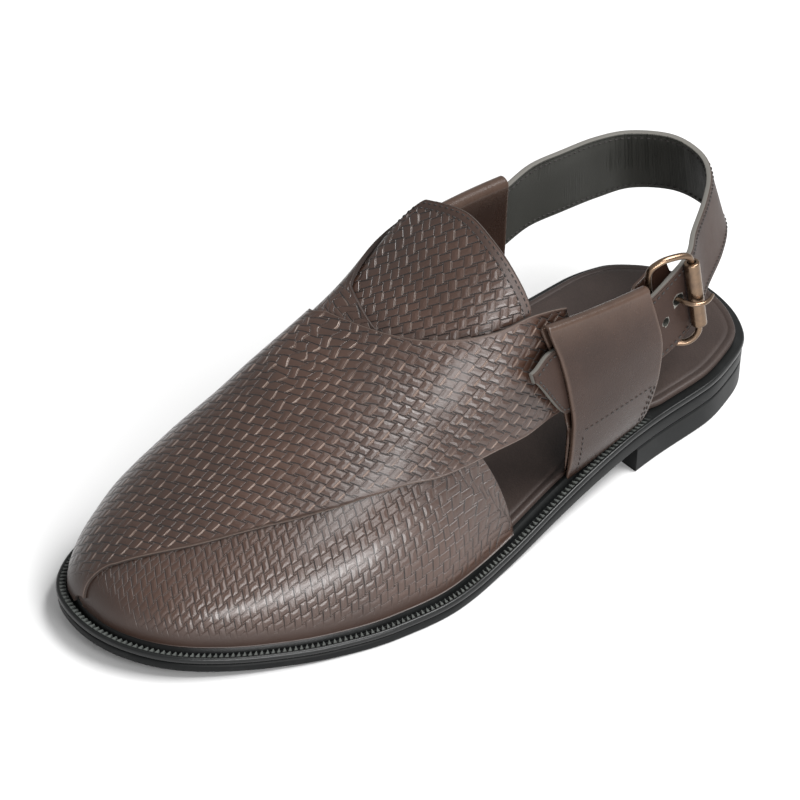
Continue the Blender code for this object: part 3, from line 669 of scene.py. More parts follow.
def grain(tree, at, size=0.9):
    """Leather grain: small pebbles between fine creases, from 0 to 1."""
    bent = node(tree, "VectorMath", settings={"operation": "MULTIPLY_ADD"},
                inputs={0: noise(tree, at, 700.0 / size, out=1), 1: (0.0006,) * 3, 2: at})
    cells = node(tree, "TexVoronoi", settings={"feature": "DISTANCE_TO_EDGE"},
                 inputs={"Vector": bent, "Scale": 1000.0 / size})
    pebble = cells.ramp(0.0, 0.22)
    fine = noise(tree, at, 2600.0 / size, 4.0, 0.6)
    return pebble * 0.6 + fine * 0.4


LONG_SHARE = 0.11       # of a cell, by which a bar is longer and narrower than it
GROOVE_SHARE = 0.085    # of a cell, width of the grooves' steep sides


def weave(tree, shift):
    """Pinwheel basket relief of the embossing, from the two lattice numbers of a point.

    Bars lie along the first number in even cells and stand along the second in odd ones,
    each LONG_SHARE longer than its cell at both ends and as much narrower at both sides,
    and each row of cells is shifted along by the given share. Thin grooves run along the
    bars' outlines. Gives the height from 0 to 1, shares that are 1 on the long outlines of
    the lying and of the standing bars, and one that is 1 on each standing bar's far outline.
    """
    p, q = field(tree, "weave_p"), field(tree, "weave_q")
    row = q.math("FLOOR")
    b = q - row - 0.5
    p = p - row * shift
    column = p.math("FLOOR")
    a = p - column - 0.5
    odd = (column + row).math("FLOORED_MODULO", 2.0).ramp(0.49, 0.51)
    side = b.ramp(-0.001, 0.001) * 2.0 - 1.0
    big, small = 0.5 + LONG_SHARE, 0.5 - LONG_SHARE
    wide, high = a.abs(), b.abs()
    lying = (wide - big).high(high - small)
    standing = (wide - small).high(high - big).low((small - wide).high(high - small))
    off = ((a - side * shift - odd + 1.0).math("FLOORED_MODULO", 2.0) - 1.0).abs()
    above = (off - small).high(small - high)
    line = (lying + odd * (standing - lying)).low(above).abs()
    rows = (high - small).abs().ramp(0.11, 0.01) * (1.0 - odd * (wide - small).ramp(0.0, -0.03))
    posts = (wide - small).abs().ramp(0.10, 0.01) * odd
    far = (a - small).abs().ramp(0.13, 0.04) * odd * high.ramp(0.50, 0.36)
    height = line.ramp(0.0, GROOVE_SHARE) * 0.72 + line.ramp(0.0, 0.42) * 0.28
    return height, rows, posts, far


GROOVE_DEPTH = 0.60     # of the embossing, in mm


def embossed(name, base, dark, light, shift, row_share, post_share, glint):
    """Embossed leather: woven relief that fades out by the field "plain", with painted shade in its
    rows and posts by their shares and the far outlines raised and given a painted highlight by glint;
    a smooth band by the panel's edges, darker away from them as painted shade by the welt, with a
    painted highlight along the edges, a cut edge darkened by the field "rim" (a dark edge colour
    deepened as painted shade), and a waxed coat."""
    mat, tree, shader, at = new_look(name)
    shape, rows, posts, far = weave(tree, shift)
    keep = 1.0 - field(tree, "plain")
    rim = field(tree, "rim")
    edge = field(tree, "edge")
    patch = noise(tree, at, 26.0, 3.0)
    uneven = noise(tree, at, 110.0, 4.0)
    # painted highlight: light dashes on the far outlines, broken up by noise
    highlight_dash = far * keep * glint * uneven.ramp(0.30, 0.62)
    # painted shade in the grooves: rows and posts darkened by their shares
    groove_shade = (rows * row_share).high(posts * post_share * (1.0 - far * glint)) * keep
    filled = rows * (1.0 - row_share) * 0.45 + posts * (1.0 - post_share) * 0.45
    height = (shape + filled + highlight_dash * 0.30) * keep + (1.0 - keep) * 0.9
    colour = blend(tree, patch.ramp(0.3, 0.7), dark, base)
    colour = blend(tree, groove_shade, colour, tuple(c * 0.22 for c in dark))
    # painted highlight on the dashes
    colour = blend(tree, highlight_dash * 0.75, colour, tuple(c * 2.1 for c in light))
    # painted shade: the plain bands darker away from the edges, as where the leather goes down to the
    # welt
    colour = blend(tree, (1.0 - keep) * edge.ramp(1.0, 3.0) * 0.7, colour,
                   tuple(c * 0.8 for c in dark))
    # painted highlight along the panel's edges
    colour = blend(tree, edge.ramp(0.7, 0.2) * 0.6, colour, light)
    # dark cut edge colour, deepened as painted shade where the edge turns down into the welt
    colour = blend(tree, rim * 0.85, colour, tuple(c * 0.3 for c in dark))
    put(tree, shader.inputs["Base Color"], colour)
    put(tree, shader.inputs["Roughness"],
        0.27 + uneven * 0.12 + groove_shade * 0.25 + rim * 0.6 + (1.0 - keep) * 0.12)
    shader.inputs["Coat Roughness"].default_value = 0.18
    put(tree, shader.inputs["Coat Weight"], keep * (1.0 - rim) * 0.25)
    under = relief(tree, grain(tree, at), 0.04, 0.5)
    under = relief(tree, noise(tree, at, 60.0, 2.0), 0.5, 0.25, under)
    put(tree, shader.inputs["Normal"], relief(tree, height, GROOVE_DEPTH, 1.0, under))
    return mat


def smooth_leather(name, base, dark, light, size, rough, coat, shine, side=None):
    """Smooth leather with fine grain, cloudy colour and lighter edges, burnished and, over a
    quarter's fold, a painted highlight; where asked, the field "side" gives its creased lining and
    its cut edge colours of their own."""
    mat, tree, shader, at = new_look(name)
    cloud = noise(tree, at, 34.0, 4.0)
    uneven = noise(tree, at, 130.0, 4.0)
    grains = grain(tree, at, size)
    edge = field(tree, "edge")
    colour = blend(tree, cloud.ramp(0.3, 0.7), dark, base)
    colour = blend(tree, (1.0 - grains) * 0.35, colour, tuple(c * 0.4 for c in dark))
    # lighter edges: burnished, and over a quarter's fold a painted highlight
    colour = blend(tree, edge.ramp(1.6, 0.1) * (0.25 + uneven * 0.45), colour, light)
    if side:
        face = field(tree, "side")
        lining = face.ramp(0.45, 0.1)
        colour = blend(tree, lining, colour, side[0])
        run = node(tree, "SeparateXYZ", inputs={0: node(tree, "UVMap")})
        crease = noise(tree, run * 140.0, 1.0, 2.0).ramp(0.52, 0.60)
        crease = crease * noise(tree, at, 24.0, 1.0).ramp(0.48, 0.58) * lining
        rim = face.ramp(0.12, 0.3) * face.ramp(0.9, 0.7)
        colour = blend(tree, rim, colour, side[1])
    put(tree, shader.inputs["Base Color"], colour)
    put(tree, shader.inputs["Roughness"], rough + uneven * 0.16 - 0.06)
    shader.inputs["Coat Roughness"].default_value = 0.35
    shader.inputs["Coat Weight"].default_value = coat
    shader.inputs["Specular IOR Level"].default_value = shine
    under = relief(tree, noise(tree, at, 45.0, 2.0), 0.6, 0.35)
    if side:
        under = relief(tree, crease, 0.7, 0.8, under)
    put(tree, shader.inputs["Normal"], relief(tree, grains, 0.06, 0.6, under))
    return mat


def rubber_look(name, base, rough, shine, ribbed=False, painted_tooth_highlight=False):
    """Moulded rubber: even dull black with fine pitting and faint scuffs; where asked, given
    a pale painted highlight on the welt's teeth by a field."""
    mat, tree, shader, at = new_look(name)
    dust = noise(tree, at, 90.0, 5.0, 0.65)
    pits = noise(tree, at, 1700.0, 3.0)
    colour = blend(tree, dust.ramp(0.5, 0.8) * 0.4, base, tuple(c * 2.2 + 0.01 for c in base))
    if painted_tooth_highlight:
        # painted highlight: the teeth's tops lit pale
        colour = blend(tree, field(tree, "painted_tooth_highlight") * (0.5 + dust * 0.5), colour, TOOTH_HIGHLIGHT_COLOUR)
    put(tree, shader.inputs["Base Color"], colour)
    put(tree, shader.inputs["Roughness"], rough + dust * 0.16 - 0.08)
    shader.inputs["Specular IOR Level"].default_value = shine
    height = relief(tree, pits, 0.04, 0.7)
    if ribbed:
        x, y = (node(tree, "SeparateXYZ", out=k, inputs={0: at}) for k in (0, 1))
        wave = ((y * 1000.0 + (x * 420.0).math("SINE") * 1.6) * 1.05).math("SINE")
        normal = node(tree, "SeparateXYZ", out=2, inputs={0: node(tree, "NewGeometry", out=1)})
        height = relief(tree, wave.ramp(-0.2, 0.3) * normal.ramp(-0.6, -0.9), 1.0, 1.0, height)
    put(tree, shader.inputs["Normal"], height)
    return mat


def bronze_look(name, base, dark):
    """Antique bronze: brown patina over metal, brighter where it is handled."""
    mat, tree, shader, at = new_look(name)
    patina = noise(tree, at, 260.0, 4.0, 0.6)
    fine = noise(tree, at, 1900.0, 3.0)
    share = patina.ramp(0.45, 0.75) * 0.7
    put(tree, shader.inputs["Base Color"], blend(tree, share, base, dark))
    put(tree, shader.inputs["Metallic"], 1.0 - share * 0.35)
    put(tree, shader.inputs["Roughness"], 0.24 + share * 0.22 + fine * 0.08)
    put(tree, shader.inputs["Normal"], relief(tree, patina * 0.7 + fine * 0.3, 0.05, 0.5))
    return mat


def thread_look(name, base):
    """Waxed thread: slanted bands of light and dark for its twisted plies."""
    mat, tree, shader, at = new_look(name)
    ply = node(tree, "TexWave", settings={"bands_direction": "DIAGONAL"},
               inputs={"Vector": at, "Scale": 900.0, "Distortion": 1.0})
    fuzz = noise(tree, at, 2500.0, 3.0)
    colour = blend(tree, ply * 0.6, base, tuple(c * 0.45 for c in base))
    put(tree, shader.inputs["Base Color"], colour)
    put(tree, shader.inputs["Roughness"], 0.55 + fuzz * 0.2)
    put(tree, shader.inputs["Normal"], relief(tree, ply, 0.08, 0.8))
    return mat


# Materials

# pale colour of the painted highlight on the welt's teeth
TOOTH_HIGHLIGHT_COLOUR = (0.095, 0.102, 0.096)
# base, dark (scaled down for the painted shade in the grooves) and light (for the painted highlights)
UPPER_COLOURS = ((0.040, 0.0198, 0.0130), (0.026, 0.0128, 0.0085), (0.120, 0.086, 0.069))
UNDER_LEATHER = embossed("under panel leather look", *UPPER_COLOURS, 0.22, 0.15, 0.95, 0.2)
OVER_LEATHER = embossed("over panel leather look", *UPPER_COLOURS, -0.30, 0.9, 0.15, 0.85)
TONGUE_LEATHER = embossed("tongue leather look", *UPPER_COLOURS[:2], (0.055, 0.040, 0.033), -0.30,
                          0.9, 0.3, 1.0)
QUARTER_LEATHER = smooth_leather("quarter leather look", (0.027, 0.0135, 0.0090),
                                 (0.019, 0.0095, 0.0065), (0.080, 0.052, 0.039), 0.9, 0.26, 0.06,
                                 0.22)
STRAP_LEATHER = smooth_leather("strap leather look", (0.036, 0.0225, 0.0180),
                               (0.026, 0.0160, 0.0130), (0.060, 0.045, 0.038), 0.8, 0.42, 0.0, 0.08,
                               ((0.036, 0.036, 0.032), (0.12, 0.115, 0.105)))
INSOLE_LEATHER = smooth_leather("insole leather look", (0.034, 0.0225, 0.0185),
                                (0.024, 0.0155, 0.0130), (0.045, 0.034, 0.029), 1.2, 0.50, 0.05, 0.3)
WELT_RUBBER = rubber_look("welt rubber look", (0.0045, 0.0050, 0.0050), 0.32, 0.28, painted_tooth_highlight=True)
TREAD_RUBBER = rubber_look("tread rubber look", (0.0048, 0.0052, 0.0053), 0.42, 0.11, True)
BRONZE = bronze_look("antique bronze look", (0.19, 0.130, 0.088), (0.075, 0.050, 0.036))
THREAD = thread_look("brown thread look", (0.011, 0.008, 0.0068))

SIDE_POINT = np.array([0.0, -20.0, 20.0])   # inside the shoe, under the panels


# Upper, two crossed panels

PANEL_COLUMNS, PANEL_ROWS = 280, 84
NET_COLUMNS, NET_ROWS = 24, 9   # of the coarser net that the flat map is relaxed on
LATTICE_START = 400      # keeps the lattice numbers over 0
LATTICE_HOLD = 12.0      # how stiffly the embossing keeps to one straight lattice
# Embossing: at a few places of the flat map (mm), the two step vectors of its lattice (mm)
LATTICE = {
    "under": np.array([
        (-53, 41, -1.3, 3.36, -2.57, -2.96),
        (-50, 43, -1.18, 3.14, -2.63, -2.57),
        (-78, 66, -1.37, 3.34, -2.87, -2.91),
        (-98, 90, -2, 3.47, -3.15, -2.9)]),
    "over": np.array([
        (35, 80, 3.94, 0.94, 0.64, 3.97),
        (66, 121, 3.59, 1.53, 0.61, 4.25),
        (26, 53, 3.65, 0.52, 1.2, 3.54),
        (63, 116, 3.65, 0.79, 0.42, 3.81),
        (90, 135, 3.47, 0.71, 0.35, 3.75)]),
    "tongue": np.array([
        (18, 40, 3.06, -2.52, 3.11, 2.05)])}


def lattice_numbers(flat, key):
    """The two lattice numbers over a flat map: quadratic functions whose slopes match the
    step vectors measured at the table's places, by least squares."""
    table = LATTICE[key]
    u, v = flat[..., 0], flat[..., 1]
    terms = np.stack([u, v, u * u, u * v, v * v], -1)
    rows, wanted = [], []
    for x, y, *steps in table:
        slopes = np.linalg.inv(np.array(steps).reshape(2, 2).T)
        rows += [[1, 0, 2 * x, y, 0], [0, 1, 0, x, 2 * y]]
        wanted += [slopes[:, 0], slopes[:, 1]]
    hold = np.diag([0, 0, LATTICE_HOLD, LATTICE_HOLD, LATTICE_HOLD])
    fit, *_ = np.linalg.lstsq(np.concatenate([np.array(rows, float), hold]),
                              np.concatenate([np.array(wanted), np.zeros((5, 2))]), rcond=None)
    return terms @ fit


def wider(grid, places, count):
    """Flat map whose rows stand at the given places, read at every whole place."""
    return np.stack([[smooth(places, grid[:, j, k])(np.arange(count))
                      for j in range(grid.shape[1])] for k in (0, 1)], -1).transpose(1, 0, 2)


def embossed_sheet(name, base, low, high, key, plain, mat, node_name, middle=4):
    """Leather sheet with the flat map, the lattice numbers and the edge and plain fields;
    middle is the column of the net from which the map is unrolled."""
    n, m = base.shape[:2]
    normal = surface_normals(base, SIDE_POINT)
    step_n = np.linspace(0, n - 1, NET_COLUMNS).round().astype(int)
    step_m = np.linspace(0, m - 1, NET_ROWS).round().astype(int)
    small = wider(flatten(base[step_n][:, step_m], middle), step_n, n)
    flat = wider(small.transpose(1, 0, 2), step_m, m).transpose(1, 0, 2)
    left, right, start, end = edge_distance(base)
    # the under panel's painted edge highlight runs only along its upper edge; its lower edge, by the
    # welt, stays in painted shade
    edge = right if key == "under" else np.minimum(left, right)
    points, quads, rows = leather(base, normal, low, high)
    numbers = lattice_numbers(flat, key).reshape(-1, 2)
    top = np.zeros(len(points))
    top[n * m:2 * n * m] = 1
    rim_count = (len(points) - 2 * n * m) // RIM_RINGS
    rim = np.concatenate([np.zeros(2 * n * m), np.repeat((.3, 1, 1, 1, 1, 1), rim_count)])
    numbers = numbers[rows] + LATTICE_START
    fields = {"weave_p": numbers[:, 0], "weave_q": numbers[:, 1],
              "edge": edge.reshape(-1)[rows], "rim": rim,
              "plain": np.maximum(plain.reshape(-1)[rows], top)}
    return mesh_object(name, points, quads, mat, flat.reshape(-1, 2)[rows], fields,
                       "embossed", (node_name,))


def inset_point(grid, normal, i, run, inset):
    """Point and normal of a grid's row i at a distance from the side where run is 0."""
    sign = 1 if run[i, 0] < run[i, -1] else -1
    j = np.interp(sign * inset, sign * run[i], np.arange(run.shape[1]))
    a = int(min(j, run.shape[1] - 2))
    s = j - a
    return (grid[i, a] * (1 - s) + grid[i, a + 1] * s,
            normal[i, a] * (1 - s) + normal[i, a + 1] * s)


def plain_share(base, margin_left, margin_right, toe):
    """Plain share near the long edges (margins in mm) and towards the toe (u of the grid)."""
    left, right, _, _ = edge_distance(base)
    u = np.linspace(0, 1, base.shape[0])[:, None]
    ml, mr = margin_left(u), margin_right(u)
    plain = 1 - ease(ml * .5, ml * 1.5, left) * ease(mr - .6, mr + .6, right)
    return np.maximum(plain, 1 - ease(toe - .05, toe + .05, u + 0 * left))


under_base = panel_base(UNDER, PANEL_COLUMNS, PANEL_ROWS)
under_plain = plain_share(under_base, lambda u: 2.0 + 5.2 * (1 - ease(.50, .68, u)),
                          lambda u: 1.2 + 0 * u, .12)
embossed_sheet("upper_under", under_base, 0.0, WALL, "under", under_plain, UNDER_LEATHER, "upper")

over_base = panel_base(OVER, PANEL_COLUMNS, PANEL_ROWS)
over_u = np.linspace(0, 1, PANEL_COLUMNS)
over_lift = (CROSS_LIFT - 2.2 * ease(.955, 1, over_u))[:, None]
over_plain = plain_share(over_base, lambda u: 1.3 + 0 * u, lambda u: 1.4 + 0 * u, .10)
embossed_sheet("upper_over", over_base, over_lift, over_lift + WALL, "over", over_plain,
               OVER_LEATHER, "upper", 7)

# Tongue

tongue_turn = np.linspace(TONGUE[0, 0], TONGUE[-1, 0], 150)
tongue_foot, tongue_head = (curve(TONGUE, k)(tongue_turn)[:, None] for k in (1, 2))
tongue_v = np.linspace(0, 1, 90)[None, :]
tongue_base = last_point(tongue_foot * (1 - tongue_v) + tongue_head * tongue_v,
                         tongue_turn[:, None] + 0 * tongue_v)
tongue_sides = edge_distance(tongue_base)
tongue_edge = np.minimum(np.minimum(tongue_sides[2], tongue_sides[3]), tongue_sides[1])
tongue_plain = 1 - ease(3.8, 4.4, tongue_edge)
tongue_top = -(GAP + TONGUE_DROP)
embossed_sheet("tongue_leather", tongue_base, tongue_top - TONGUE_WALL, tongue_top, "tongue",
               tongue_plain, TONGUE_LEATHER, "tongue")

# Quarters


def quarter_piece(name, table, tops, node_name):
    """Folded band: outer face, fold and inner face as one loop, the tunnel as a second loop
    inside it, both swept along the band, with the rounded cut edges between them."""
    fold, floor = 0.955, 0.40
    thick = lambda s: QUARTER_FOOT + (QUARTER_ALL - QUARTER_FOOT) * ease(.28, .44, s)
    rise = np.concatenate([np.linspace(0, floor, 16, endpoint=False), np.linspace(floor, fold, 30)])
    arc = np.linspace(0, np.pi, 19)[1:-1]

    def loop(a, near, far, shares):
        up = quarter_point(table, tops, a, shares, near(shares))
        down = quarter_point(table, tops, a, shares[::-1], far(shares[::-1]))
        centre, half = (up[-1] + down[0]) / 2, (up[-1] - down[0]) / 2
        lift = np.array([0, 0, np.linalg.norm(half)])
        over = centre + np.cos(arc)[:, None] * half + np.sin(arc)[:, None] * lift
        return np.concatenate([up, over, down])

    ends = [(0, .38), (.0022, .16), (.0075, 0)]
    along = ends + [(a, 0) for a in np.linspace(.02, .98, 58)]
    along += [(1 - a, d) for a, d in ends[::-1]]
    outer, inner = [], []
    for a, d in along:
        outer.append(loop(a, lambda s: d + 0 * s, lambda s: thick(s) - d, rise))
        held = np.where(rise < floor, floor - .03 + .075 * rise, rise)
        inner.append(loop(a, lambda s: QUARTER_OUTER - d + 0 * s,
                          lambda s: np.maximum(QUARTER_OUTER + .25, thick(s) - QUARTER_INNER) + d,
                          held))
    outer, inner = np.array(outer), np.array(inner)
    k, m = outer.shape[:2]
    size = k * m
    index = np.arange(size).reshape(k, m)
    quads = [grid_quads(k, m, wrap_m=True), grid_quads(k, m, wrap_m=True, start=size)[:, ::-1]]
    for row, flip in ((index[0], True), (index[-1], False)):
        ring = np.stack([row, np.roll(row, -1), np.roll(row, -1) + size, row + size], -1)
        quads.append(ring[:, ::-1] if flip else ring)
    points = np.concatenate([outer.reshape(-1, 3), inner.reshape(-1, 3)])
    quads = outward(points, np.concatenate(quads))
    share = np.concatenate([rise, 0 * arc + 1, rise[::-1]])
    run = np.array([a for a, _ in along])
    edge = np.minimum(run, 1 - run)[:, None] * QUARTER_WIDTH + 0 * share[None]
    # the fold reaches into the edge field, which gives a painted highlight over the quarter's top
    top = np.abs(1 - share)[None] * 5.5 + 0.35 + 0 * run[:, None]
    edge = np.tile(np.minimum(edge, top).ravel(), 2)
    uv = np.stack([np.tile(run[:, None] * QUARTER_WIDTH, (1, m)),
                   np.tile(share * QUARTER_HEIGHT, (k, 1))], -1)
    return mesh_object(name, points, quads, QUARTER_LEATHER, np.tile(uv.reshape(-1, 2), (2, 1)),
                       {"edge": edge}, "smooth", (node_name,))


quarter_piece("quarter_lateral_leather", QUARTER_L, QUARTER_L_TOP, "quarter_lateral")
quarter_piece("quarter_medial_leather", QUARTER_M, QUARTER_M_TOP, "quarter_medial")


def quarter_row(table, tops, along, heights):
    """Path on a quarter's outer face with its normals."""
    path = quarter_point(table, tops, along, heights, 0.0)
    near = quarter_point(table, tops, along, heights, 1.0)
    return path, path - near


quarter_threads = []
# rows of stitches as shares (along, height) from and to: across, down the front, down the rear
QUARTER_ROWS = (((.12, .333), (.93, .333), 60), ((.115, .30), (.115, .06), 40),
                ((.93, .32), (.90, .08), 40), ((.968, .33), (.94, .08), 40))
for table, tops in ((QUARTER_L, QUARTER_L_TOP), (QUARTER_M, QUARTER_M_TOP)):
    for row in QUARTER_ROWS:
        shares = np.linspace(*row)
        quarter_threads.append(stitches(*quarter_row(table, tops, shares[:, 0], shares[:, 1]),
                                        2.6, 1.9, .24))
mesh_object("quarter_threads", *joined(quarter_threads), THREAD, slot="smooth",
            replaces=("quarter_lateral",))

# Heel strap

STRAP_STEPS = 8         # of the strap's grid to each of its columns
STRAP_ROWS = 31
STRAP_HIDDEN = 4        # steps of its end in the quarter that have no stitches
STRAP_ROW_GAP = 1.5     # least space between its two rows of stitches
strap_key = strap_columns()
strap_low, strap_mid, strap_top = (rounded_path(strap_key[:, k], STRAP_STEPS) for k in range(3))
strap_count = len(strap_low)
strap_v = np.linspace(0, 1, STRAP_ROWS)[None, :, None]
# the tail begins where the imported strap's does; that one has three steps to a column
STRAP_TAIL = 8.5        # of those steps, from the tail's start to its end
strap_place = np.arange(strap_count) / STRAP_STEPS * 3
strap_tail = ease(strap_place[-1] - STRAP_TAIL, strap_place[-1], strap_place)[:, None, None]
strap_v = strap_v * (1 - .86 * strap_tail) + .76 * strap_tail
strap_curve = [c[:, None] for c in (strap_low, strap_mid, strap_top)]
strap_grid = (strap_curve[0] * 2 * (strap_v - .5) * (strap_v - 1)
              + strap_curve[1] * 4 * strap_v * (1 - strap_v)
              + strap_curve[2] * 2 * strap_v * (strap_v - .5))
strap_normal = surface_normals(strap_grid, np.array([0.0, 60.0, 70.0]))
strap_points, strap_quads, strap_rows = leather(strap_grid, strap_normal, -STRAP_THICK / 2,
                                                STRAP_THICK / 2, .45)
strap_sides = edge_distance(strap_grid)
strap_edge = np.minimum(strap_sides[0], strap_sides[1])
face_count = strap_grid.shape[0] * strap_grid.shape[1]
rim_count = (len(strap_points) - 2 * face_count) // RIM_RINGS
strap_face = np.concatenate([np.ones(face_count), np.zeros(face_count)]
                            + [np.full(rim_count, v) for v in (.95, .85, .70, .45, .2, .05)])
strap_run = strap_sides[2][:, STRAP_ROWS // 2]
strap_flat = np.stack([np.tile(strap_run[:, None], (1, STRAP_ROWS)), strap_sides[0]], -1)
strap_leather = mesh_object("strap_leather", strap_points, strap_quads, STRAP_LEATHER,
                            strap_flat.reshape(-1, 2)[strap_rows],
                            {"edge": strap_edge.reshape(-1)[strap_rows], "side": strap_face},
                            "strap", ("heel_strap",))


def cut(obj, loops):
    """A hole through a piece: the solid between the loops is taken out of it."""
    loops = np.asarray(loops, float)
    k, m = loops.shape[:2]
    ends = [tuple(range(m)), tuple(range((k - 1) * m, k * m))[::-1]]
    quads = [tuple(int(v) for v in q) for q in grid_quads(k, m, wrap_m=True)]
    mesh = bpy.data.meshes.new("cutter")
    mesh.from_pydata([tuple(p) for p in (loops.reshape(-1, 3) - CENTRE) * MM], [],
                     quads + [e[::-1] for e in ends])
    cutter = bpy.data.objects.new("cutter", mesh)
    bpy.context.scene.collection.objects.link(cutter)
    mod = obj.modifiers.new("hole", "BOOLEAN")
    mod.operation = "DIFFERENCE"
    mod.solver = "EXACT"
    mod.object = cutter
    bpy.context.view_layer.update()
    done = obj.evaluated_get(bpy.context.evaluated_depsgraph_get())
    result = bpy.data.meshes.new_from_object(done)
    obj.modifiers.clear()
    obj.data = result
    bpy.data.objects.remove(cutter)


hole_turn = np.linspace(0, 2 * np.pi, 40, endpoint=False)
for x, y, z, ry, rz in (STRAP_HOLE, STRAP_SLOT):
    cut(strap_leather, [np.stack([0 * hole_turn + x + d, y + ry * np.cos(hole_turn),
                                  z + rz * np.sin(hole_turn)], 1) for d in (-7, 7)])


def strap_row(inset, low_side, face):
    """Path along the strap's outer (face 1) or inner (face -1) side at a distance from one
    of its edges, as far as the strap is wide enough for two rows."""
    run = strap_sides[0] if low_side else strap_sides[1]
    path, normals = [], []
    for i in range(STRAP_HIDDEN, strap_count):
        if run[i].max() < 2 * inset + STRAP_ROW_GAP:
            break
        p, q = inset_point(strap_grid, strap_normal, i, run, inset)
        path.append(p + q * STRAP_THICK / 2 * face)
        normals.append(q * face)
    return np.array(path), np.array(normals)


strap_threads = [stitches(*strap_row(2.2, low, face), 2.5, 1.8, .36)
                 for low in (True, False) for face in (1, -1)]
mesh_object("strap_threads", *joined(strap_threads), THREAD, slot="strap",
            replaces=("heel_strap",))

# Tongue threads


def tongue_row(inset):
    """Path round the tongue's free edge at a distance from it."""
    normal = surface_normals(tongue_base, SIDE_POINT)
    ends = np.minimum(tongue_sides[2], tongue_sides[3])[:, -1]
    rows = [inset_point(tongue_base, normal, i, tongue_sides[1], inset)
            for i in range(len(tongue_base)) if ends[i] >= inset]
    path, normals = (np.array(v) for v in zip(*rows))
    return path - normals * (GAP + TONGUE_DROP), normals


tongue_threads = [stitches(*tongue_row(d), 2.4, 1.8, .25) for d in (1.6, 4.0)]
mesh_object("tongue_threads", *joined(tongue_threads), THREAD, slot="embossed",
            replaces=("tongue",))

# Sole

PLATE_EDGE = 5.0        # the plates count as far from any leather's edge

def outline_loop(inset, height, end, n):
    """Loop of the sole's outline drawn in by an inset (a number, or two station functions)
    at a height function: n points down each side, from the heel's back to the end station."""
    pair = inset if isinstance(inset, tuple) else (lambda t: inset + 0 * t,) * 2
    left, right, low, high = half_outlines(*pair, 1600)
    u = np.linspace(0, 1, n)
    share = (1 - np.cos(np.pi * u)) / 2 if end == 1 else 1 - np.cos(np.pi / 2 * u)
    y = high + ((low if end == 1 else row_y(end)) - high) * share
    z = height(station(y))
    medial = np.stack([right(y), y, z], 1)[1:-1 if end == 1 else None]
    return np.concatenate([np.stack([left(y), y, z], 1), medial[::-1]])


def plate_quads(k, m):
    """Quads of a plate: its side over k loops of m points, and its lower and upper face."""
    index = np.arange(k * m).reshape(k, m)
    i = np.arange(m // 2)
    quads = [grid_quads(k, m, wrap_m=True)]
    for level, flip in ((index[0], True), (index[-1], False)):
        fill = np.stack([level[i], level[i + 1], level[(m - i - 1) % m], level[(m - i) % m]], -1)
        quads.append(fill[:, ::-1] if flip else fill)
    return np.concatenate(quads)


def sole_plate(name, levels, end, mat, slot_name, node_name, n=420, sharp=None):
    """Plate with the sole's outline from a row of levels, each an inset and a height."""
    loops = np.array([outline_loop(inset, height, end, n) for inset, height in levels])
    points = loops.reshape(-1, 3)
    quads = outward(points, plate_quads(*loops.shape[:2]))
    uv = np.stack([points[:, 0] + points[:, 2], points[:, 1]], -1)
    return mesh_object(name, points, quads, mat, uv, {"edge": np.full(len(points), PLATE_EDGE)},
                       slot_name, (node_name,), sharp)


def evenly(loops, count):
    """Loops read again at even steps round the outer one."""
    guide = loops[len(loops) // 2]
    step = np.linalg.norm(np.roll(guide, -1, 0) - guide, axis=1)
    run = np.concatenate([[0], np.cumsum(step)])
    at = np.linspace(0, run[-1], count, endpoint=False)
    out = []
    for loop in loops:
        closed = np.concatenate([loop, loop[:1]])
        out.append(np.stack([np.interp(at, run, closed[:, c]) for c in range(3)], 1))
    return np.array(out), at, run[-1]


TOOTH_PITCH = 2.1
TOOTH_DEPTH = 0.9
TOOTH_IN, TOOTH_OUT = 4.1, 1.75     # insets of the teeth's narrow and wide ends


def welt_piece():
    """Upper plate of the sole: rounded lip and, inside it, a row of moulded teeth, each a
    wedge that widens outwards, cut into the plate with channels between them."""
    insets = [1.6, .9, .45, .12, 0, .05, .22, .5, .8, 1.05, 1.25, 1.45, 1.6, 1.9, 2.4, 3.0, 3.6,
              4.2, 4.7, 5.0, 5.4, 6.6, 9.0]
    drops = [3.0, 3.0, 2.7, 2.2, 1.5, .9, .42, .1, 0, 0, .06, .3, .42, .42, .42, .42, .42, .42, .42,
             .42, .35, .1, 0]
    loops = np.array([outline_loop(inset, lambda t: 0 * t, 1, 900) for inset in insets])
    loops, at, whole = evenly(loops, 2720)
    t = station(loops[:, :, 1])
    inset, drop = np.array(insets)[:, None], np.array(drops)[:, None]
    z = welt_top(t) - drop
    teeth = round(whole / TOOTH_PITCH)
    phase = (at / whole * teeth) % 1 - .5
    within = np.clip((TOOTH_IN - inset) / (TOOTH_IN - TOOTH_OUT), 0, 1)
    half_width = .09 + .30 * within
    tooth = 1 - ease(-.06, .06, np.abs(phase)[None] - half_width)
    tooth = tooth * (1 - ease(TOOTH_IN - .5, TOOTH_IN, inset))
    band = (1 - ease(5.2, 5.6, inset)) * ease(1.2, 1.6, inset)
    front = ease(.235, .262, t)
    channel = .45 + TOOTH_DEPTH * (1 - tooth) - .55 * tooth
    trough = .8 * ease(TOOTH_IN - .5, TOOTH_IN, inset)
    z = np.where(band > 0, z - front * band * (channel - .1 + trough), z)
    z = z + (1 - front) * np.minimum(drop, .5) * (inset > 1.3)
    loops[:, :, 2] = z
    points = loops.reshape(-1, 3)
    quads = outward(points, plate_quads(*loops.shape[:2]))
    # where the welt's teeth get their painted highlight
    painted_tooth_highlight = (tooth * band * front).ravel()
    return mesh_object("welt_rubber", points, quads, WELT_RUBBER, points[:, :2],
                       {"painted_tooth_highlight": painted_tooth_highlight}, "rubber", ("welt",), 38)


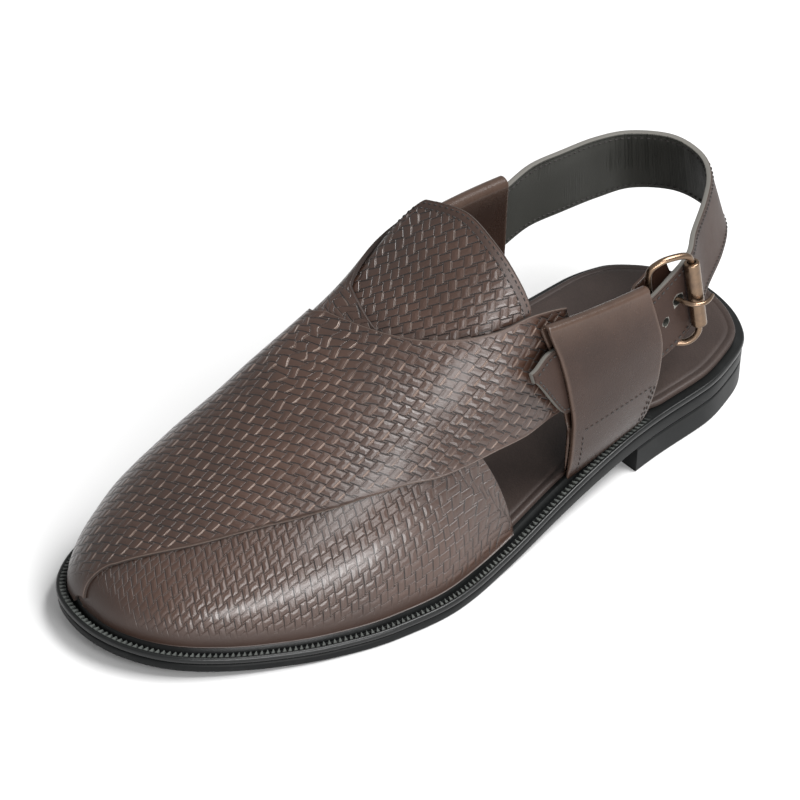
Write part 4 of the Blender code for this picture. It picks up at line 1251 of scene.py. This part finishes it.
welt_piece()
under_welt = lambda t: welt_top(t) - WELT_THICK - GAP
sole_plate("outsole_rubber", [
    (2.6, sole_bottom), (1.8, sole_bottom), (1.1, lambda t: sole_bottom(t) + .12),
    (.75, lambda t: sole_bottom(t) + .45), (.62, lambda t: sole_bottom(t) + .95),
    (.60, lambda t: under_welt(t) - 1.4), (.66, lambda t: under_welt(t) - .7),
    (.95, lambda t: under_welt(t) - .2), (1.5, under_welt), (4, under_welt)],
    1, TREAD_RUBBER, "rubber", "outsole")
heel_top = SEAT_RISE - GAP
level = lambda height: (lambda t: 0 * t + height)
sole_plate("heel_rubber", [
    (2.4, level(0)), (1.7, level(0)), (1.15, level(.14)), (.93, level(.5)), (.88, level(1.2)),
    (.74, level(heel_top - 1.2)), (.74, level(heel_top - .5)), (.9, level(heel_top - .15)),
    (1.3, level(heel_top))], HEEL_LENGTH / LENGTH, TREAD_RUBBER, "rubber", "heel", 220, sharp=50)

insole_l = smooth((0, .21, .255, .34, 1), (3.6, 4.0, 7.2, 7.6, 7.9))
insole_m = smooth((0, .21, .255, .34, .52, .66, .82, 1), (3.6, 4.0, 6.2, 5.0, 4.7, 6.0, 7.6, 7.9))
rise_by = lambda h: (lambda t: welt_top(t) + GAP + h)
drawn_in = lambda d: (lambda t: insole_l(t) + d, lambda t: insole_m(t) + d)
sole_plate("insole_leather", [
    (drawn_in(.25), rise_by(0)), (drawn_in(0), rise_by(.3)),
    (drawn_in(0), rise_by(INSOLE_THICK - .8)),
    (drawn_in(.15), rise_by(INSOLE_THICK - .35)), (drawn_in(.5), rise_by(INSOLE_THICK - .08)),
    (drawn_in(1.2), rise_by(INSOLE_THICK)), (drawn_in(2.6), rise_by(INSOLE_THICK)),
    (drawn_in(2.9), rise_by(INSOLE_THICK - .25)), (drawn_in(3.2), rise_by(INSOLE_THICK)),
    (drawn_in(5), rise_by(INSOLE_THICK))], 1, INSOLE_LEATHER, "insole", "insole", 300)

# Buckle

mesh_object("buckle_wire", *tube_points(rounded_path(FRAME, 14, closed=True), WIRE, 24,
                                        closed=True), BRONZE, slot="bronze",
            replaces=("buckle_frame",))
roller_low, roller_high = FRAME[0], FRAME[2]
roller_axis = (roller_high - roller_low) / np.linalg.norm(roller_high - roller_low)
roller_a = np.cross(roller_axis, (0, 1, 0))
roller_a /= np.linalg.norm(roller_a)
roller_b = np.cross(roller_axis, roller_a)
ROLLER_SIDES = 64
roller_turn = np.linspace(0, 2 * np.pi, ROLLER_SIDES, endpoint=False)
roller_ring = (np.cos(roller_turn)[:, None] * roller_a + np.sin(roller_turn)[:, None] * roller_b)
roller_low, roller_high = roller_low - roller_axis * .5, roller_high + roller_axis * .5
roller_bore = WIRE + .45
roller_span = np.linalg.norm(roller_high - roller_low)
roller_profile = [(0, roller_bore), (0, ROLLER - .55), (.08, ROLLER - .25), (.3, ROLLER - .06),
                  (.6, ROLLER)]
roller_profile += [(share * roller_span, ROLLER) for share in np.linspace(.04, .96, 24)]
roller_profile += [(roller_span - d, r) for d, r in roller_profile[:5][::-1]]
roller_loops = np.array([roller_low + roller_axis * d + roller_ring * r for d, r in roller_profile])
roller_quads = grid_quads(len(roller_profile), ROLLER_SIDES, wrap_n=True, wrap_m=True)
roller_points = roller_loops.reshape(-1, 3)
mesh_object("buckle_barrel", roller_points, outward(roller_points, roller_quads), BRONZE,
            slot="bronze", replaces=("buckle_roller",), sharp=50)

prong_bar = FRAME[7] * .62 + FRAME[8] * .38
prong_reach = WIRE + GAP + PRONG
prong_hook = np.radians(np.linspace(200, 60, 6))
prong_eye = prong_bar + prong_reach * np.stack([np.sin(prong_hook), np.cos(prong_hook),
                                                0 * prong_hook], 1)
prong_path = rounded_path(np.concatenate([prong_eye, TINE]), 8)
prong_radius = PRONG * (1 - .25 * ease(.8, 1, np.linspace(0, 1, len(prong_path))))
mesh_object("buckle_tine", *tube_points(prong_path, prong_radius, 20), BRONZE, slot="bronze",
            replaces=("buckle_prong",))

guard_grid = []
for share in np.linspace(0, 1, 70):
    a = .80 + .62 * share
    lean = QUARTER_ALL + GAP + .8 + 5.0 * ease(.90, 1.06, a)
    bottom = .52 + .06 * ease(.6, 1, share)
    top = .93 + .11 * ease(.25, .95, share) - .12 * ease(.93, 1, share)
    guard_grid.append([quarter_point(QUARTER_L, QUARTER_L_TOP, a, min(s, 1), lean)
                       + np.array([0, 0, max(s - 1, 0) * 70]) for s in np.linspace(bottom, top, 40)])
guard_grid = np.array(guard_grid)
guard_normal = surface_normals(guard_grid, np.array([0.0, 80.0, 70.0]))
guard_points, guard_quads, guard_rows = leather(guard_grid, guard_normal, -.7, .7, .3)
guard_sides = np.min(edge_distance(guard_grid), axis=0)
mesh_object("guard_leather", guard_points, guard_quads, QUARTER_LEATHER,
            fields={"edge": guard_sides.reshape(-1)[guard_rows]}, slot="smooth",
            replaces=("buckle_guard",))


# Floor, light and camera


def floor_look():
    """Pale, dull floor with a faint cloud."""
    mat, tree, shader, at = new_look("pale floor look")
    put(tree, shader.inputs["Base Color"],
        blend(tree, noise(tree, at, 8.0, 3.0) * 0.3, (0.60, 0.60, 0.60), (0.58, 0.58, 0.58)))
    shader.inputs["Roughness"].default_value = 0.9
    shader.inputs["Specular IOR Level"].default_value = 0.1
    return mat


floor_mesh = bpy.data.meshes.new("floor")
floor_mesh.from_pydata([(-6, -6, 0), (6, -6, 0), (6, 6, 0), (-6, 6, 0)], [], [(0, 1, 2, 3)])
floor_mesh.materials.append(floor_look())
floor = bpy.data.objects.new("floor", floor_mesh)
bpy.context.scene.collection.objects.link(floor)

world = bpy.data.worlds.new("studio")
bpy.context.scene.world = world
world.use_nodes = True
sky = world.node_tree.nodes["Background"]
sky.inputs["Color"].default_value = (1.0, 1.0, 1.0, 1.0)
sky.inputs["Strength"].default_value = 0.55


def soft_light(name, place_at, size, power):
    """Rectangular area light aimed at the middle of the shoe."""
    data = bpy.data.lights.new(name, "AREA")
    data.shape = "RECTANGLE"
    data.size, data.size_y = size
    data.energy = power
    lamp = bpy.data.objects.new(name, data)
    lamp.location = place_at
    lamp.rotation_euler = (Vector((0, 0, .04)) - lamp.location).to_track_quat("-Z", "Y").to_euler()
    bpy.context.scene.collection.objects.link(lamp)


soft_light("key light", (.80, .75, 2.0), (1.3, 1.1), 86)
soft_light("low side light", (1.14, -.37, .11), (.85, .17), 12.5)
soft_light("high side light", (.97, -.26, .75), (.42, .34), 5.5)
bpy.context.scene.view_settings.view_transform = "Standard"

# Camera fitted to the photograph, then turned to the middle of this one shoe
CAMERA_AT = np.array([913.96, -838.67, 1101.69])
CAMERA_AIM = np.array([-10.46, -2.18, 40.0])
CAMERA_UP = (-0.5027, 0.4342, 0.7475)
back = CAMERA_AT - CAMERA_AIM
back /= np.linalg.norm(back)
right = np.cross(CAMERA_UP, back)
right /= np.linalg.norm(right)
up = np.cross(back, right)
lens = bpy.data.cameras.new("camera")
lens.sensor_width = 36.0
lens.lens = 199.0
lens.clip_start, lens.clip_end = 0.05, 30.0
camera = bpy.data.objects.new("camera", lens)
bpy.context.scene.collection.objects.link(camera)
spot = (CAMERA_AT - CENTRE) * MM
camera.matrix_world = Matrix([(right[k], up[k], back[k], spot[k]) for k in range(3)]
                             + [(0, 0, 0, 1)])
bpy.context.scene.camera = camera
